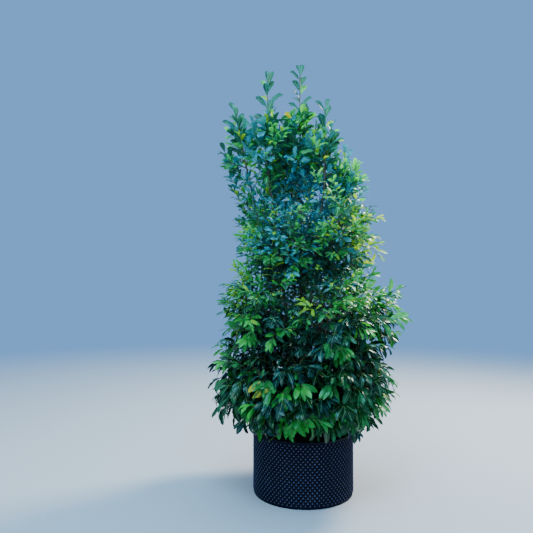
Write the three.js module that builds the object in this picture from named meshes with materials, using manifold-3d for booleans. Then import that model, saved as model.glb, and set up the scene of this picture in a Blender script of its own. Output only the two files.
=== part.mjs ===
// A cherry laurel grown as a bush with several stems, in a round black dimpled nursery pot.
// Millimetres, +Z up. The origin is the centre of the pot's flat underside, and -Y is the front.
// Stems rise from a low stool, side boughs leave them, and each stem and bough ends in one mass of leaves.
import * as THREE from "three";
import { mergeVertices } from "three/addons/utils/BufferGeometryUtils.js";
import Module from "manifold-3d";

const wasm = await Module();
wasm.setup();

// Clearances
const GAP = 0.3; // between two pieces that touch
const CELL_MARGIN = 3; // between a mass and the border of its space
const CORE_MARGIN = 12; // between a mass's core and that border
const TIP_MARGIN = 40; // between the tip of the limb that carries a mass and that border
const LIMB_MARGIN = 5; // between a leaf or twig and a limb
const POT_MARGIN = 8; // between a leaf or twig and the pot

// Pot and compost
const POT_RADIUS = 380; // over the tips of the dimples
const POT_HEIGHT = 460;
const POT_BASE = 10;
const RIM_BAND = 14; // plain edge above and below the dimples
const DIMPLE_DEPTH = 16; // from the tips to the bottoms of the hollows
const DIMPLE_COLUMNS = 48; // even, as tips and hollows take turns
const DIMPLE_ROWS = 9;
const POT_WALL = 8; // behind the deepest hollow
const COMPOST_BELOW_RIM = 28;
const COMPOST_SETTLED = 12; // how far it has sunk at the wall
const COMPOST_SLOPE = 60; // how wide that slope is
const WALL_SIDES = DIMPLE_COLUMNS; // round the inside of the wall, and round the compost in it

// Stool, stems and boughs
const STOOL_HEIGHT = 110;
const STOOL_PROFILE = [ // its radius at shares of its height
  [92, 0],
  [72, 0.2],
  [58, 0.5],
  [70, 0.85],
  [62, 1],
];
const STOOL_SIDES = 20;
const ROOT_LOBES = 5;
const ROOT_LOBE_SHARE = 0.16; // how far a lobe stands out, as a share of the radius
const STEM_CIRCLE = 46; // radius of the circle of stem feet on the stool
const STEM_SUNK = 30; // how deep a stem starts in the stool, before it is cut to the stool's skin
const STEM_UPRIGHT = 100; // how far it goes straight up from there
const STEM_FLARE = 12; // and how much further out it is then
const STEM_SPREAD = 95; // how far from the axis the stems pass halfway up
const STEM_MIDDLE = 1150; // the height of that halfway point
const STEM_LEAN = 0.15; // how far the halfway point leans towards the tip
const STEM_RADII = [19, 8]; // at the root and at the tip
const STEM_SHAPE = { sides: 6, steps: 7 };
const BOUGH_RADII = [11, 7];
const BOUGH_SHAPE = { sides: 5, steps: 3 };
const BOUGH_RISE = 170; // how far below its tip a side bough leaves its stem
const BOUGH_LOWEST = 610;
const BOUGH_KNEE = 0.45; // where along it its knee is
const BOUGH_SAG = 0.12; // how far its knee hangs below a straight line, as a share of its rise
const HOST_SEARCH = 60; // how far above or below that height it may leave its stem
// The tip of a limb in its mass: its distance from the axis as a share of the mass's, and how far below the
// mass's centre it ends, as a share of half the mass's height.
const STEM_TIP = { share: 0.9, drop: 0.72 };
const BOUGH_TIP = { share: 0.5, drop: 0.3 };
const TIP_PULL = 0.08; // how far a tip that lies too near the border is drawn to the centre at a time

// Masses of leaves, tier by tier. Their centres stand round the tier's own middle, which is moved to the
// right of the axis, at the distance reach. wide and tall are half their size, core is the core's size as a
// share of theirs, and turn is where the first one stands, in degrees.
const TIERS = [
  {
    name: "skirt", count: 6, turn: 12, core: 0.79,
    height: 830, right: 0, reach: 370, wide: 340, tall: 440,
  },
  {
    name: "waist", count: 5, turn: 6, core: 0.79,
    height: 1360, right: 10, reach: 360, wide: 360, tall: 450,
  },
  {
    name: "shoulder", count: 4, turn: 54, core: 0.78,
    height: 1880, right: 30, reach: 280, wide: 330, tall: 450,
  },
];
// The masses at the stems' own tips: their centres to the right and to the back, their tops, how far the
// leader of each stands out above it, and how far that leans to the right.
const CREST = [
  { right: -15, back: 20, top: 2900, wide: 190, tall: 440, leader: 330, lean: 0 },
  { right: -265, back: -60, top: 2840, wide: 170, tall: 360, leader: 350, lean: -5 },
  { right: -450, back: 60, top: 2790, wide: 170, tall: 260, leader: 150, lean: -70 },
  { right: 155, back: -120, top: 2700, wide: 180, tall: 340, leader: 240, lean: 10 },
  { right: 310, back: 60, top: 2500, wide: 200, tall: 280, leader: 100, lean: 30 },
  { right: -60, back: 320, top: 2720, wide: 230, tall: 360, leader: 220, lean: 0 },
];
const TIER_LIFT = 45; // every other mass of a tier stands this much higher, and the rest as much lower
const CREST_CORE = 0.66; // its core's size and how far below its centre it lies, as shares of its half sizes
const CREST_CORE_DROP = 0.3;
const CORE_WAVE = 0.1; // how uneven a core is
const CORE_PULL = 0.96; // how much a corner of a core that lies too near the border is drawn in at a time

// Leads and twigs
const GOLDEN_ANGLE = Math.PI * (3 - Math.sqrt(5));
const LEAD_RADII = [6.5, 3.5]; // at the root and at the tip
const TWIG_RADII = [6, 3.5];
const TWIG_SHAPE = { sides: 3, steps: 2 };
const SHORTEST_TWIG = 70;
const TWIG_STEP = 20; // how much a twig is shortened at a time until it fits
const TWIG_BEND = 0.2; // how far it starts out along what carries it, as a share of its length
const LEAD_SHORT = 90; // how far a crest mass's lead ends below its leader's tip, for the last leaf
const DENSE_TWIGS = 12; // counted all round a dense mass, with those of the inner side, which are left out
const INNER_SIDE = -0.3; // how far a twig may point inwards, as a share of its length
const DENSE_ROOTS = { from: 0.95, to: 0.55 }; // where they leave the lead, the highest twig first
const CREST_TWIGS = 8;
const CREST_ROOTS = { from: 0.05, to: 0.6 };
const CREST_ANGLES = { from: 1.1, to: 0.5 }; // between a crest twig and the lead, the lowest twig first
const TURN_PLAY = 0.4;

// Leaves. A leaf here is larger than life, and stands for a few.
const LEAVES_PER_TWIG = 4;
const LEADER_LEAVES = 10;
const DENSE_LEAVES_FROM = 0.72; // the share of a twig's length where its leaves begin
const CREST_LEAVES_FROM = 0.3;
const LEAVES_TO = 0.94;
const LAST_LEAF_AT = 0.98;
const LAST_LEAF_ANGLE = 0.12;
const LEAF_ANGLE = 0.85; // between a leaf and its twig
const LEAF_ANGLE_PLAY = 0.2;
const LEAF_LENGTH = 215;
const CREST_LEAF_LENGTH = 160;
const LEAF_LENGTH_PLAY = 0.15; // a leaf is up to this share longer or shorter
const LEAF_WIDTH_SHARE = 0.42;
const LEAF_THICKNESS = 4.5;
const LEAF_WIDEST = 0.58; // how far along the leaf it is widest
const LEAF_FOLD = 0.06; // how high its edges stand, as a share of its width
const LEAF_TIP_DROP = 0.1; // how far its tip is bent down, as a share of its length
const LEAF_UPWARD = 0.8; // how much a leaf's upper face turns to the sky
const LEAF_BACKWARD = 0.5; // and how much it turns back to the root
const SHORTEST_LEAF = 100;
const OUTLINE_SLACK = 1.3; // how far a leaf may reach, as a share of the way from its root to the outline
const TWIG_SHORT = { from: 0.35, to: 0.65 }; // how many leaf lengths below the outline a twig ends
const LEAF_LOWEST = 430; // the lowest that a leaf hangs beside the pot
const UNDERSIDE_SLOPE = 0.75; // how steeply the underside of the crown rises outwards from there
const DROOP_TOP = 2100; // above this height leaves no longer hang
const DROOP = 0.75;
const DROOP_PLAY = { from: 0.6, to: 1.1 };

const UP = new THREE.Vector3(0, 0, 1);
const vec = (x, y, z) => new THREE.Vector3(x, y, z);
const between = (range, share) => THREE.MathUtils.lerp(range.from, range.to, share);

const plastic = new THREE.MeshStandardMaterial({ color: 0x14161c, roughness: 0.55, metalness: 0 });
const compost = new THREE.MeshStandardMaterial({ color: 0x2e2118, roughness: 1, metalness: 0 });
const bark = new THREE.MeshStandardMaterial({ color: 0x5b4a38, roughness: 0.9, metalness: 0 });
const darkLeaf = new THREE.MeshStandardMaterial({ color: 0x1f5a2a, roughness: 0.35, metalness: 0 });
const lightLeaf = new THREE.MeshStandardMaterial({ color: 0x3c7d34, roughness: 0.35, metalness: 0 });

// Seeded random numbers from 0 to 1, the same on every run.
function randomFrom(seed) {
  let state = seed >>> 0;
  return () => {
    state = (state + 0x6d2b79f5) >>> 0;
    let t = Math.imul(state ^ (state >>> 15), state | 1);
    t = (t + Math.imul(t ^ (t >>> 7), t | 61)) ^ t;
    return ((t ^ (t >>> 14)) >>> 0) / 4294967296;
  };
}

function solidOf(geometry) {
  const bare = geometry.index ? geometry.toNonIndexed() : geometry.clone();
  bare.deleteAttribute("normal");
  bare.deleteAttribute("uv");
  const merged = mergeVertices(bare, 1e-3);
  return new wasm.Manifold(
    new wasm.Mesh({
      numProp: 3,
      vertProperties: merged.attributes.position.array,
      triVerts: new Uint32Array(merged.index.array),
    }),
  );
}

function geometryOf(solid) {
  const mesh = solid.getMesh();
  const geometry = new THREE.BufferGeometry();
  geometry.setAttribute("position", new THREE.BufferAttribute(new Float32Array(mesh.vertProperties), 3));
  geometry.setIndex(new THREE.BufferAttribute(new Uint32Array(mesh.triVerts), 1));
  geometry.computeVertexNormals();
  return geometry;
}

// The largest body of a solid, with any hollow sealed inside it filled.
function largestBody(solid) {
  const bodies = solid.decompose();
  bodies.sort((a, b) => b.volume() - a.volume());
  return bodies[0];
}

const part = new THREE.Group();

function addNode(name, solid, material) {
  const mesh = new THREE.Mesh(geometryOf(solid), material);
  mesh.name = name;
  part.add(mesh);
}

// The pot: a lathe whose outer wall is pushed in at every other corner, like an egg box.
function potSolid() {
  const dimpleHeight = (POT_HEIGHT - 2 * RIM_BAND) / DIMPLE_ROWS;
  const innerRadius = POT_RADIUS - DIMPLE_DEPTH - POT_WALL;
  const bandRadius = POT_RADIUS - DIMPLE_DEPTH / 2;
  const profile = [new THREE.Vector2(0, 0), new THREE.Vector2(bandRadius, 0)];
  const firstDimple = profile.length;
  for (let row = 0; row <= DIMPLE_ROWS; row++)
    profile.push(new THREE.Vector2(POT_RADIUS, RIM_BAND + row * dimpleHeight));
  const lastDimple = profile.length - 1;
  profile.push(new THREE.Vector2(bandRadius, POT_HEIGHT));
  profile.push(new THREE.Vector2(innerRadius, POT_HEIGHT));
  profile.push(new THREE.Vector2(innerRadius, POT_BASE));
  profile.push(new THREE.Vector2(0, POT_BASE));
  const geometry = new THREE.LatheGeometry(profile, DIMPLE_COLUMNS);
  const places = geometry.attributes.position;
  for (let column = 0; column <= DIMPLE_COLUMNS; column++)
    for (let row = firstDimple; row <= lastDimple; row++) {
      if ((column + row) % 2) continue;
      const corner = column * profile.length + row;
      const shrink = (POT_RADIUS - DIMPLE_DEPTH) / POT_RADIUS;
      places.setXYZ(corner, places.getX(corner) * shrink, places.getY(corner), places.getZ(corner) * shrink);
    }
  return solidOf(geometry.rotateX(Math.PI / 2));
}

function compostSolid() {
  const radius = POT_RADIUS - DIMPLE_DEPTH - POT_WALL - 2 * GAP;
  const top = POT_HEIGHT - COMPOST_BELOW_RIM;
  const profile = [
    new THREE.Vector2(0, POT_BASE + GAP),
    new THREE.Vector2(radius, POT_BASE + GAP),
    new THREE.Vector2(radius, top - COMPOST_SETTLED),
    new THREE.Vector2(radius - COMPOST_SLOPE, top),
    new THREE.Vector2(0, top),
  ];
  return solidOf(new THREE.LatheGeometry(profile, WALL_SIDES).rotateX(Math.PI / 2));
}

// The stool: a low trunk with a lobed root flare, on the compost, widening again where the stems leave it.
function stoolSolid(grow = 0) {
  const foot = POT_HEIGHT - COMPOST_BELOW_RIM + GAP;
  const profile = STOOL_PROFILE.map(
    ([radius, share]) => new THREE.Vector2(radius + grow, foot + share * STOOL_HEIGHT),
  );
  profile.at(-1).y += grow;
  profile.unshift(new THREE.Vector2(0, foot));
  profile.push(new THREE.Vector2(0, foot + STOOL_HEIGHT + grow));
  const geometry = new THREE.LatheGeometry(profile, STOOL_SIDES);
  const places = geometry.attributes.position;
  for (let i = 0; i < places.count; i++) {
    const share = (places.getY(i) - foot) / STOOL_HEIGHT;
    const angle = Math.atan2(places.getZ(i), places.getX(i));
    const lobe = 1 + ROOT_LOBE_SHARE * Math.max(0, 1 - 2 * share) * Math.cos(ROOT_LOBES * angle);
    places.setX(i, places.getX(i) * lobe);
    places.setZ(i, places.getZ(i) * lobe);
  }
  return solidOf(geometry.rotateX(Math.PI / 2));
}

// A tapering limb: a cylinder whose rings are laid square along a curve.
function limbSolid(limb, grow = 0) {
  const { curve, rootRadius, tipRadius, sides, steps } = limb;
  const geometry = new THREE.CylinderGeometry(tipRadius + grow, rootRadius + grow, 1, sides, steps);
  const frames = curve.computeFrenetFrames(steps, false);
  const places = geometry.attributes.position;
  for (let i = 0; i < places.count; i++) {
    const ring = Math.round((places.getY(i) + 0.5) * steps);
    const centre = curve.getPointAt(ring / steps);
    centre.addScaledVector(frames.normals[ring], places.getX(i));
    centre.addScaledVector(frames.binormals[ring], -places.getZ(i));
    if (grow && ring === steps) centre.addScaledVector(frames.tangents[ring], grow);
    places.setXYZ(i, centre.x, centre.y, centre.z);
  }
  return solidOf(geometry);
}

function makeLimb(name, points, [rootRadius, tipRadius], { sides, steps }) {
  const curve = new THREE.CatmullRomCurve3(points, false, "catmullrom", 0.5);
  const samples = curve.getSpacedPoints(4 * steps);
  return { name, curve, samples, rootRadius, tipRadius, sides, steps };
}

// The masses: centre, half sizes and name, from the tiers and the crest.
function layOutMasses() {
  const masses = [];
  for (const tier of TIERS)
    for (let i = 0; i < tier.count; i++) {
      const angle = THREE.MathUtils.degToRad(tier.turn) + (i / tier.count) * 2 * Math.PI;
      const lift = i % 2 ? TIER_LIFT : -TIER_LIFT;
      const across = tier.reach * Math.cos(angle);
      const centre = vec(tier.right + across, tier.reach * Math.sin(angle), tier.height + lift);
      masses.push({ ...tier, name: `${tier.name}_${i + 1}`, centre });
    }
  CREST.forEach((crest, i) => {
    const { right, back, top, tall, leader, lean } = crest;
    const centre = vec(right, back, top - tall);
    const tip = vec(right + lean, back, top + leader - LEAD_SHORT);
    masses.push({ ...crest, name: `crest_${i + 1}`, centre, tip, core: CREST_CORE, crest: true });
  });
  return masses;
}

const masses = layOutMasses();

// Where the limb that carries a mass ends, well inside the mass's space.
function tipIn(mass, { share, drop }) {
  const { centre, tall } = mass;
  const tip = vec(centre.x * share, centre.y * share, centre.z - drop * tall);
  while (!pointInSpace(tip, mass, TIP_MARGIN)) tip.lerp(centre, TIP_PULL);
  return tip;
}

// The stems: each goes up inside the crown and ends low in its own crest mass.
function layOutStems() {
  const foot = POT_HEIGHT - COMPOST_BELOW_RIM + GAP + STOOL_HEIGHT - STEM_SUNK;
  const crests = masses.filter((mass) => mass.crest);
  crests.sort((a, b) => Math.atan2(a.centre.y, a.centre.x) - Math.atan2(b.centre.y, b.centre.x));
  return crests.map((mass, i) => {
    const angle = -Math.PI + ((i + 0.5) / crests.length) * 2 * Math.PI;
    const spread = (radius, height) => vec(radius * Math.cos(angle), radius * Math.sin(angle), height);
    const tip = tipIn(mass, STEM_TIP);
    const middle = spread(STEM_SPREAD, STEM_MIDDLE).lerp(vec(tip.x, tip.y, STEM_MIDDLE), STEM_LEAN);
    const upright = spread(STEM_CIRCLE + STEM_FLARE, foot + STEM_UPRIGHT);
    const points = [spread(STEM_CIRCLE, foot), upright, middle, tip];
    const limb = makeLimb(`stem_${mass.name.at(-1)}`, points, STEM_RADII, STEM_SHAPE);
    mass.bough = limb;
    return limb;
  });
}

const stems = layOutStems();

// The point on the stems, near a height, that is closest to a bough's tip.
function nearestOnStems(tip, height) {
  const places = stems.flatMap((stem) => stem.samples.map((point) => ({ stem, point })));
  const near = places.filter(({ point }) => Math.abs(point.z - height) < HOST_SEARCH);
  near.sort((a, b) => a.point.distanceTo(tip) - b.point.distanceTo(tip));
  return near[0];
}

// The side boughs: each leaves the stem nearest to its mass, and goes out and up into the mass.
function layOutBoughs() {
  const dense = masses.filter((mass) => !mass.crest);
  return dense.map((mass) => {
    const tip = tipIn(mass, BOUGH_TIP);
    const { stem, point: root } = nearestOnStems(tip, Math.max(BOUGH_LOWEST, tip.z - BOUGH_RISE));
    const knee = root.clone().lerp(tip, BOUGH_KNEE).addScaledVector(UP, -BOUGH_SAG * (tip.z - root.z));
    const limb = makeLimb(`bough_${mass.name}`, [root, knee, tip], BOUGH_RADII, BOUGH_SHAPE);
    limb.host = stem;
    mass.bough = limb;
    return limb;
  });
}

const boughs = layOutBoughs();
const limbs = [...stems, ...boughs];

// What a twig or leaf must stay clear of: the limbs, the stool and the pot with its compost, all grown by
// that clearance.
function keepOutSolid() {
  const radius = POT_RADIUS + POT_MARGIN;
  const height = POT_HEIGHT + POT_MARGIN;
  const pot = new THREE.CylinderGeometry(radius, radius, height, WALL_SIDES).rotateX(Math.PI / 2);
  let solid = solidOf(pot.translate(0, 0, height / 2)).add(stoolSolid(LIMB_MARGIN));
  for (const limb of limbs) solid = solid.add(limbSolid(limb, LIMB_MARGIN));
  return solid;
}

const keepOut = keepOutSolid();
const clearOf = (solid, other) => solid.intersect(other).isEmpty();

// The space of a mass: nearer to its own centre than to any other, and above the crown's underside. The
// borders between crest masses are upright, so that their leaders find room. The space is convex, so a solid
// lies in it if all its corners do.
function pointInSpace(point, mass, margin) {
  for (const other of masses) {
    if (other === mass) continue;
    const across = other.centre.clone().sub(mass.centre);
    if (mass.crest && other.crest) across.z = 0;
    const border = across.length() / 2 - margin;
    if (point.clone().sub(mass.centre).dot(across.normalize()) > border) return false;
  }
  const outside = Math.max(0, Math.hypot(point.x, point.y) - POT_RADIUS);
  return point.z > LEAF_LOWEST + UNDERSIDE_SLOPE * outside;
}

function inSpace(solid, mass) {
  const corners = solid.getMesh().vertProperties;
  for (let i = 0; i < corners.length; i += 3)
    if (!pointInSpace(vec(corners[i], corners[i + 1], corners[i + 2]), mass, CELL_MARGIN)) return false;
  return true;
}

// The length of the ray from a point inside a mass to its rounded outline.
function lengthToOutline(from, direction, mass) {
  const squash = vec(1 / mass.wide, 1 / mass.wide, 1 / mass.tall);
  const p = from.clone().sub(mass.centre).multiply(squash);
  const d = direction.clone().multiply(squash);
  const b = p.dot(d);
  const a = d.lengthSq();
  return (Math.sqrt(Math.max(0, b * b - a * (p.lengthSq() - 1))) - b) / a;
}

// A blade of eight faces: an octahedron, widest past its middle, its edges raised and its tip bent down.
function leafSolid(root, direction, face, length) {
  const width = length * LEAF_WIDTH_SHARE;
  const geometry = new THREE.OctahedronGeometry(1, 0);
  const across = direction.clone().cross(face).normalize();
  const normal = across.clone().cross(direction).normalize();
  const places = geometry.attributes.position;
  for (let i = 0; i < places.count; i++) {
    const [x, y, z] = [places.getX(i), places.getY(i), places.getZ(i)];
    const along = (y === 0 ? LEAF_WIDEST : (y + 1) / 2) * length;
    const raised = Math.abs(x) * LEAF_FOLD * width - (y > 0.5 ? LEAF_TIP_DROP * length : 0);
    const corner = root.clone().addScaledVector(direction, along);
    corner.addScaledVector(across, (x * width) / 2);
    corner.addScaledVector(normal, (z * LEAF_THICKNESS) / 2 + raised);
    places.setXYZ(i, corner.x, corner.y, corner.z);
  }
  return solidOf(geometry);
}

function droopAt(height) {
  return DROOP * THREE.MathUtils.clamp(1 - (height - POT_HEIGHT) / (DROOP_TOP - POT_HEIGHT), 0, 1);
}

// A direction that leaves an axis by an angle, on the side that a turn round the axis gives.
function leave(along, turn, angle) {
  const side = vec(1, 0, 0).cross(along).normalize().applyAxisAngle(along, turn);
  return along.clone().multiplyScalar(Math.cos(angle)).addScaledVector(side, Math.sin(angle));
}

const fullLeaf = (mass) => (mass.crest ? CREST_LEAF_LENGTH : LEAF_LENGTH);

// The length of a leaf: on the lead of a crest mass by chance alone, and on a twig no longer than the mass's
// outline lets it be.
function leafLength(twig, root, direction, mass, random) {
  const wanted = fullLeaf(mass) * (1 + LEAF_LENGTH_PLAY * (2 * random() - 1));
  if (twig.leads) return wanted;
  return Math.min(wanted, lengthToOutline(root, direction, mass) * OUTLINE_SLACK);
}

// The leaves of one twig: spread round it by the golden angle from a share of its length on, the last one
// going straight on. A leaf that would leave the mass's space or outline, or come near a limb, is skipped.
function leavesOn(twig, count, from, mass, random) {
  const made = [];
  const start = random() * 2 * Math.PI;
  for (let i = 0; i < count; i++) {
    const last = i === count - 1;
    const share = last ? LAST_LEAF_AT : THREE.MathUtils.lerp(from, LEAVES_TO, i / (count - 1));
    const along = twig.curve.getTangentAt(share);
    const angle = last ? LAST_LEAF_ANGLE : LEAF_ANGLE + LEAF_ANGLE_PLAY * (2 * random() - 1);
    const direction = leave(along, start + i * GOLDEN_ANGLE, angle);
    const root = twig.curve.getPointAt(share);
    direction.addScaledVector(UP, -droopAt(root.z) * between(DROOP_PLAY, random())).normalize();
    const face = along.clone().addScaledVector(UP, LEAF_UPWARD).addScaledVector(direction, -LEAF_BACKWARD);
    const length = leafLength(twig, root, direction, mass, random);
    if (length < SHORTEST_LEAF) continue;
    root.addScaledVector(direction, -twig.tipRadius);
    const leaf = leafSolid(root, direction, face, length);
    if (inSpace(leaf, mass) && clearOf(leaf, keepOut)) made.push(leaf);
  }
  return made;
}

// A twig, shortened until it lies in its mass's space and clear of what it is tested against.
function fittedTwig(from, heading, direction, length, radii, mass, clear) {
  for (let span = length; span >= SHORTEST_TWIG; span -= TWIG_STEP) {
    const to = from.clone().addScaledVector(direction, span);
    const bend = from.clone().addScaledVector(heading, TWIG_BEND * span);
    const twig = makeLimb("twig", [from, bend, to], radii, TWIG_SHAPE);
    twig.solid = limbSolid(twig);
    if (inSpace(twig.solid, mass) && clear(twig.solid)) return twig;
  }
  return null;
}

// The core of a mass, where it is dense: a rough ball held inside the mass's space and cut clear of the
// limbs. A crest mass has a smaller one, in its lower half.
function coreSolid(mass) {
  const geometry = new THREE.OctahedronGeometry(1, 1);
  const places = geometry.attributes.position;
  const middle = mass.centre.clone().addScaledVector(UP, mass.crest ? -CREST_CORE_DROP * mass.tall : 0);
  for (let i = 0; i < places.count; i++) {
    const direction = vec(places.getX(i), places.getY(i), places.getZ(i)).normalize();
    const wave = 1 + CORE_WAVE * Math.sin(5 * direction.x + 3 * direction.z) * Math.cos(4 * direction.y);
    const squash = vec(1 / mass.wide, 1 / mass.wide, 1 / mass.tall);
    let length = (mass.core * wave) / direction.clone().multiply(squash).length();
    const cornerAt = () => middle.clone().addScaledVector(direction, length);
    while (!pointInSpace(cornerAt(), mass, CORE_MARGIN)) length *= CORE_PULL;
    const corner = cornerAt();
    places.setXYZ(i, corner.x, corner.y, corner.z);
  }
  return largestBody(solidOf(geometry).subtract(keepOut));
}

// The lead of a mass goes on from its bough's tip, to the middle of a dense mass or up into the leader of a
// crest mass.
function leadOf(mass) {
  const { bough } = mass;
  const tangent = bough.curve.getTangentAt(1);
  const start = bough.curve.getPointAt(1).addScaledVector(tangent, GAP);
  const target = mass.crest ? mass.tip : mass.centre;
  const heading = target.clone().sub(start).normalize();
  const others = limbs.filter((limb) => limb !== bough).map((limb) => limbSolid(limb, LIMB_MARGIN));
  const clear = (solid) => others.every((other) => clearOf(solid, other));
  const lead = fittedTwig(start, tangent, heading, start.distanceTo(target), LEAD_RADII, mass, clear);
  lead.leads = mass.crest;
  return lead;
}

// The twigs of a crest mass climb round its lead.
function crestTwigs(lead, random) {
  return Array.from({ length: CREST_TWIGS }, (_, i) => {
    const share = (i + 0.5) / CREST_TWIGS;
    const place = between(CREST_ROOTS, share);
    const along = lead.curve.getTangentAt(place);
    const direction = leave(along, i * GOLDEN_ANGLE + TURN_PLAY * random(), between(CREST_ANGLES, share));
    return { from: lead.curve.getPointAt(place), along, direction };
  });
}

// The twigs of a dense mass go out to all sides but the inner one, as evenly as points on a ball.
function denseTwigs(mass, lead, random) {
  const outward = vec(mass.centre.x, mass.centre.y, 0).normalize();
  const all = Array.from({ length: DENSE_TWIGS }, (_, i) => {
    const share = (i + 0.5) / DENSE_TWIGS;
    const height = 1 - 2 * share;
    const flat = Math.sqrt(1 - height * height);
    const turn = i * GOLDEN_ANGLE + TURN_PLAY * random();
    const direction = vec(flat * Math.cos(turn), flat * Math.sin(turn), height);
    return { from: lead.curve.getPointAt(between(DENSE_ROOTS, share)), along: direction, direction };
  });
  return all.filter(({ direction }) => direction.dot(outward) > INNER_SIDE);
}

// One mass: its lead, its core, twigs from the lead out to the outline, and leaves on them.
function massSolid(mass, seed) {
  const random = randomFrom(seed);
  const lead = leadOf(mass);
  const leavesFrom = mass.crest ? CREST_LEAVES_FROM : DENSE_LEAVES_FROM;
  const leaves = mass.crest ? leavesOn(lead, LEADER_LEAVES, leavesFrom, mass, random) : [];
  const starts = mass.crest ? crestTwigs(lead, random) : denseTwigs(mass, lead, random);
  let solid = lead.solid.add(coreSolid(mass));
  for (const { from, along, direction } of starts) {
    const length = lengthToOutline(from, direction, mass) - fullLeaf(mass) * between(TWIG_SHORT, random());
    const clear = (candidate) => clearOf(candidate, keepOut);
    const twig = fittedTwig(from, along, direction, length, TWIG_RADII, mass, clear);
    if (!twig) continue;
    solid = solid.add(twig.solid);
    leaves.push(...leavesOn(twig, LEAVES_PER_TWIG, leavesFrom, mass, random));
  }
  for (const leaf of leaves) solid = solid.add(leaf);
  return largestBody(solid);
}

addNode("pot", potSolid(), plastic);
addNode("compost", compostSolid(), compost);
addNode("stool", stoolSolid(), bark);

const grownStool = stoolSolid(GAP);
for (const stem of stems) addNode(stem.name, largestBody(limbSolid(stem).subtract(grownStool)), bark);
for (const bough of boughs) {
  const grownHost = limbSolid(bough.host, GAP);
  addNode(bough.name, largestBody(limbSolid(bough).subtract(grownHost)), bark);
}
masses.forEach((mass, i) => {
  addNode(`leaves_${mass.name}`, massSolid(mass, 1000 + i), mass.crest ? lightLeaf : darkLeaf);
});

export default part;
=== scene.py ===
import math
from collections import namedtuple

import bpy
import numpy as np
from bpy.props import FloatProperty, FloatVectorProperty, IntProperty, PointerProperty
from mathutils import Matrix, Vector, noise


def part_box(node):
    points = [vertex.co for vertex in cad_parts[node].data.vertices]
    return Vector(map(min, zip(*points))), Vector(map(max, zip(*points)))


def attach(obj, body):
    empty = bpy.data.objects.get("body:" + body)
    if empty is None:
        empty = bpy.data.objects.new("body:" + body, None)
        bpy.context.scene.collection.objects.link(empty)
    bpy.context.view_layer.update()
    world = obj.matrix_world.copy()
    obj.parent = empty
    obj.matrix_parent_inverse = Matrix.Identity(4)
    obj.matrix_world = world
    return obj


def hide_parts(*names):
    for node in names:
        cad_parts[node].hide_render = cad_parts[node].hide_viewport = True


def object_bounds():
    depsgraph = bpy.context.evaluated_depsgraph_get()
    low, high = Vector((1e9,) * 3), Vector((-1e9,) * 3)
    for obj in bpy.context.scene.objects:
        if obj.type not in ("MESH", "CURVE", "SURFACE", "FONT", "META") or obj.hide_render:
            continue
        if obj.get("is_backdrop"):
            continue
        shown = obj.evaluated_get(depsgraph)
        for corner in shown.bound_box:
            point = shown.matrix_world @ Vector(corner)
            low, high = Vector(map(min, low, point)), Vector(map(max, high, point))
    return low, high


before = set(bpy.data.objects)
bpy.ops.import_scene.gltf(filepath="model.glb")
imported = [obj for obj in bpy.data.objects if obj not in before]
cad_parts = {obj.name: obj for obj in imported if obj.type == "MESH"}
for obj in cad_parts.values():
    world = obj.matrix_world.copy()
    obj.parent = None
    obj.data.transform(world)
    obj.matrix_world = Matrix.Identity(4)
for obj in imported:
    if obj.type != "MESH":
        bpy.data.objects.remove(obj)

bl_info = {
    "name": "Potted cherry laurel",
    "version": (1, 0, 0),
    "blender": (4, 5, 0),
    "location": "3D View > Sidebar > Laurel",
    "description": "A cherry laurel with several stems in a dimpled nursery pot",
    "category": "Add Mesh",
}

CAD_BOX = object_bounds()
POT_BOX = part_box("pot")
COMPOST_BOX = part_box("compost")
STOOL_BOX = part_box("stool")

# The limbs and masses of the solids, in metres.
GAP = 0.0003
TIP_MARGIN = 0.04  # between the tip of the limb that carries a mass and the border of its space
TIP_STEP = 0.08  # a tip without that margin moves by this share of its way to the centre
SPACE_MARGIN = 0.003
STEM_CIRCLE = 0.046
STEM_FLARE = (0.012, 0.1)  # from a stem's root to its next point: how far out, and how far up
STEM_SUNK = 0.03
STEM_SPREAD = 0.095
STEM_MIDDLE = 1.15
STEM_LEAN = 0.15
STEM_SAMPLES = 29  # places on a stem where a bough may leave it
BOUGH_RISE = 0.17
BOUGH_LOWEST = 0.61
BOUGH_SAG = 0.12
BOUGH_KNEE = 0.45
HOST_SEARCH = 0.06
STEM_TIP = {"share": 0.9, "drop": 0.72}
BOUGH_TIP = {"share": 0.5, "drop": 0.3}
TIER_LIFT = 0.045
Tier = namedtuple("Tier", "name count height reach right wide tall turn lift")
TIERS = (
    Tier("skirt", 6, 0.83, 0.37, 0.00, 0.34, 0.44, 12, -0.05),
    Tier("waist", 5, 1.36, 0.36, 0.01, 0.36, 0.45, 6, 0.06),
    Tier("shoulder", 4, 1.88, 0.28, 0.03, 0.33, 0.45, 54, 0.16),
)
Crest = namedtuple("Crest", "right back top wide tall leader lean twigs")
CREST = (
    Crest(-0.015, 0.02, 2.90, 0.19, 0.44, 0.33, 0.000, 18),
    Crest(-0.265, -0.06, 2.84, 0.17, 0.36, 0.32, -0.005, 18),
    Crest(-0.450, 0.06, 2.79, 0.17, 0.26, 0.15, -0.070, 11),
    Crest(0.155, -0.12, 2.70, 0.18, 0.34, 0.21, 0.010, 18),
    Crest(0.310, 0.06, 2.50, 0.20, 0.28, 0.10, 0.030, 18),
    Crest(-0.060, 0.32, 2.72, 0.23, 0.36, 0.22, 0.000, 18),
)

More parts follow.
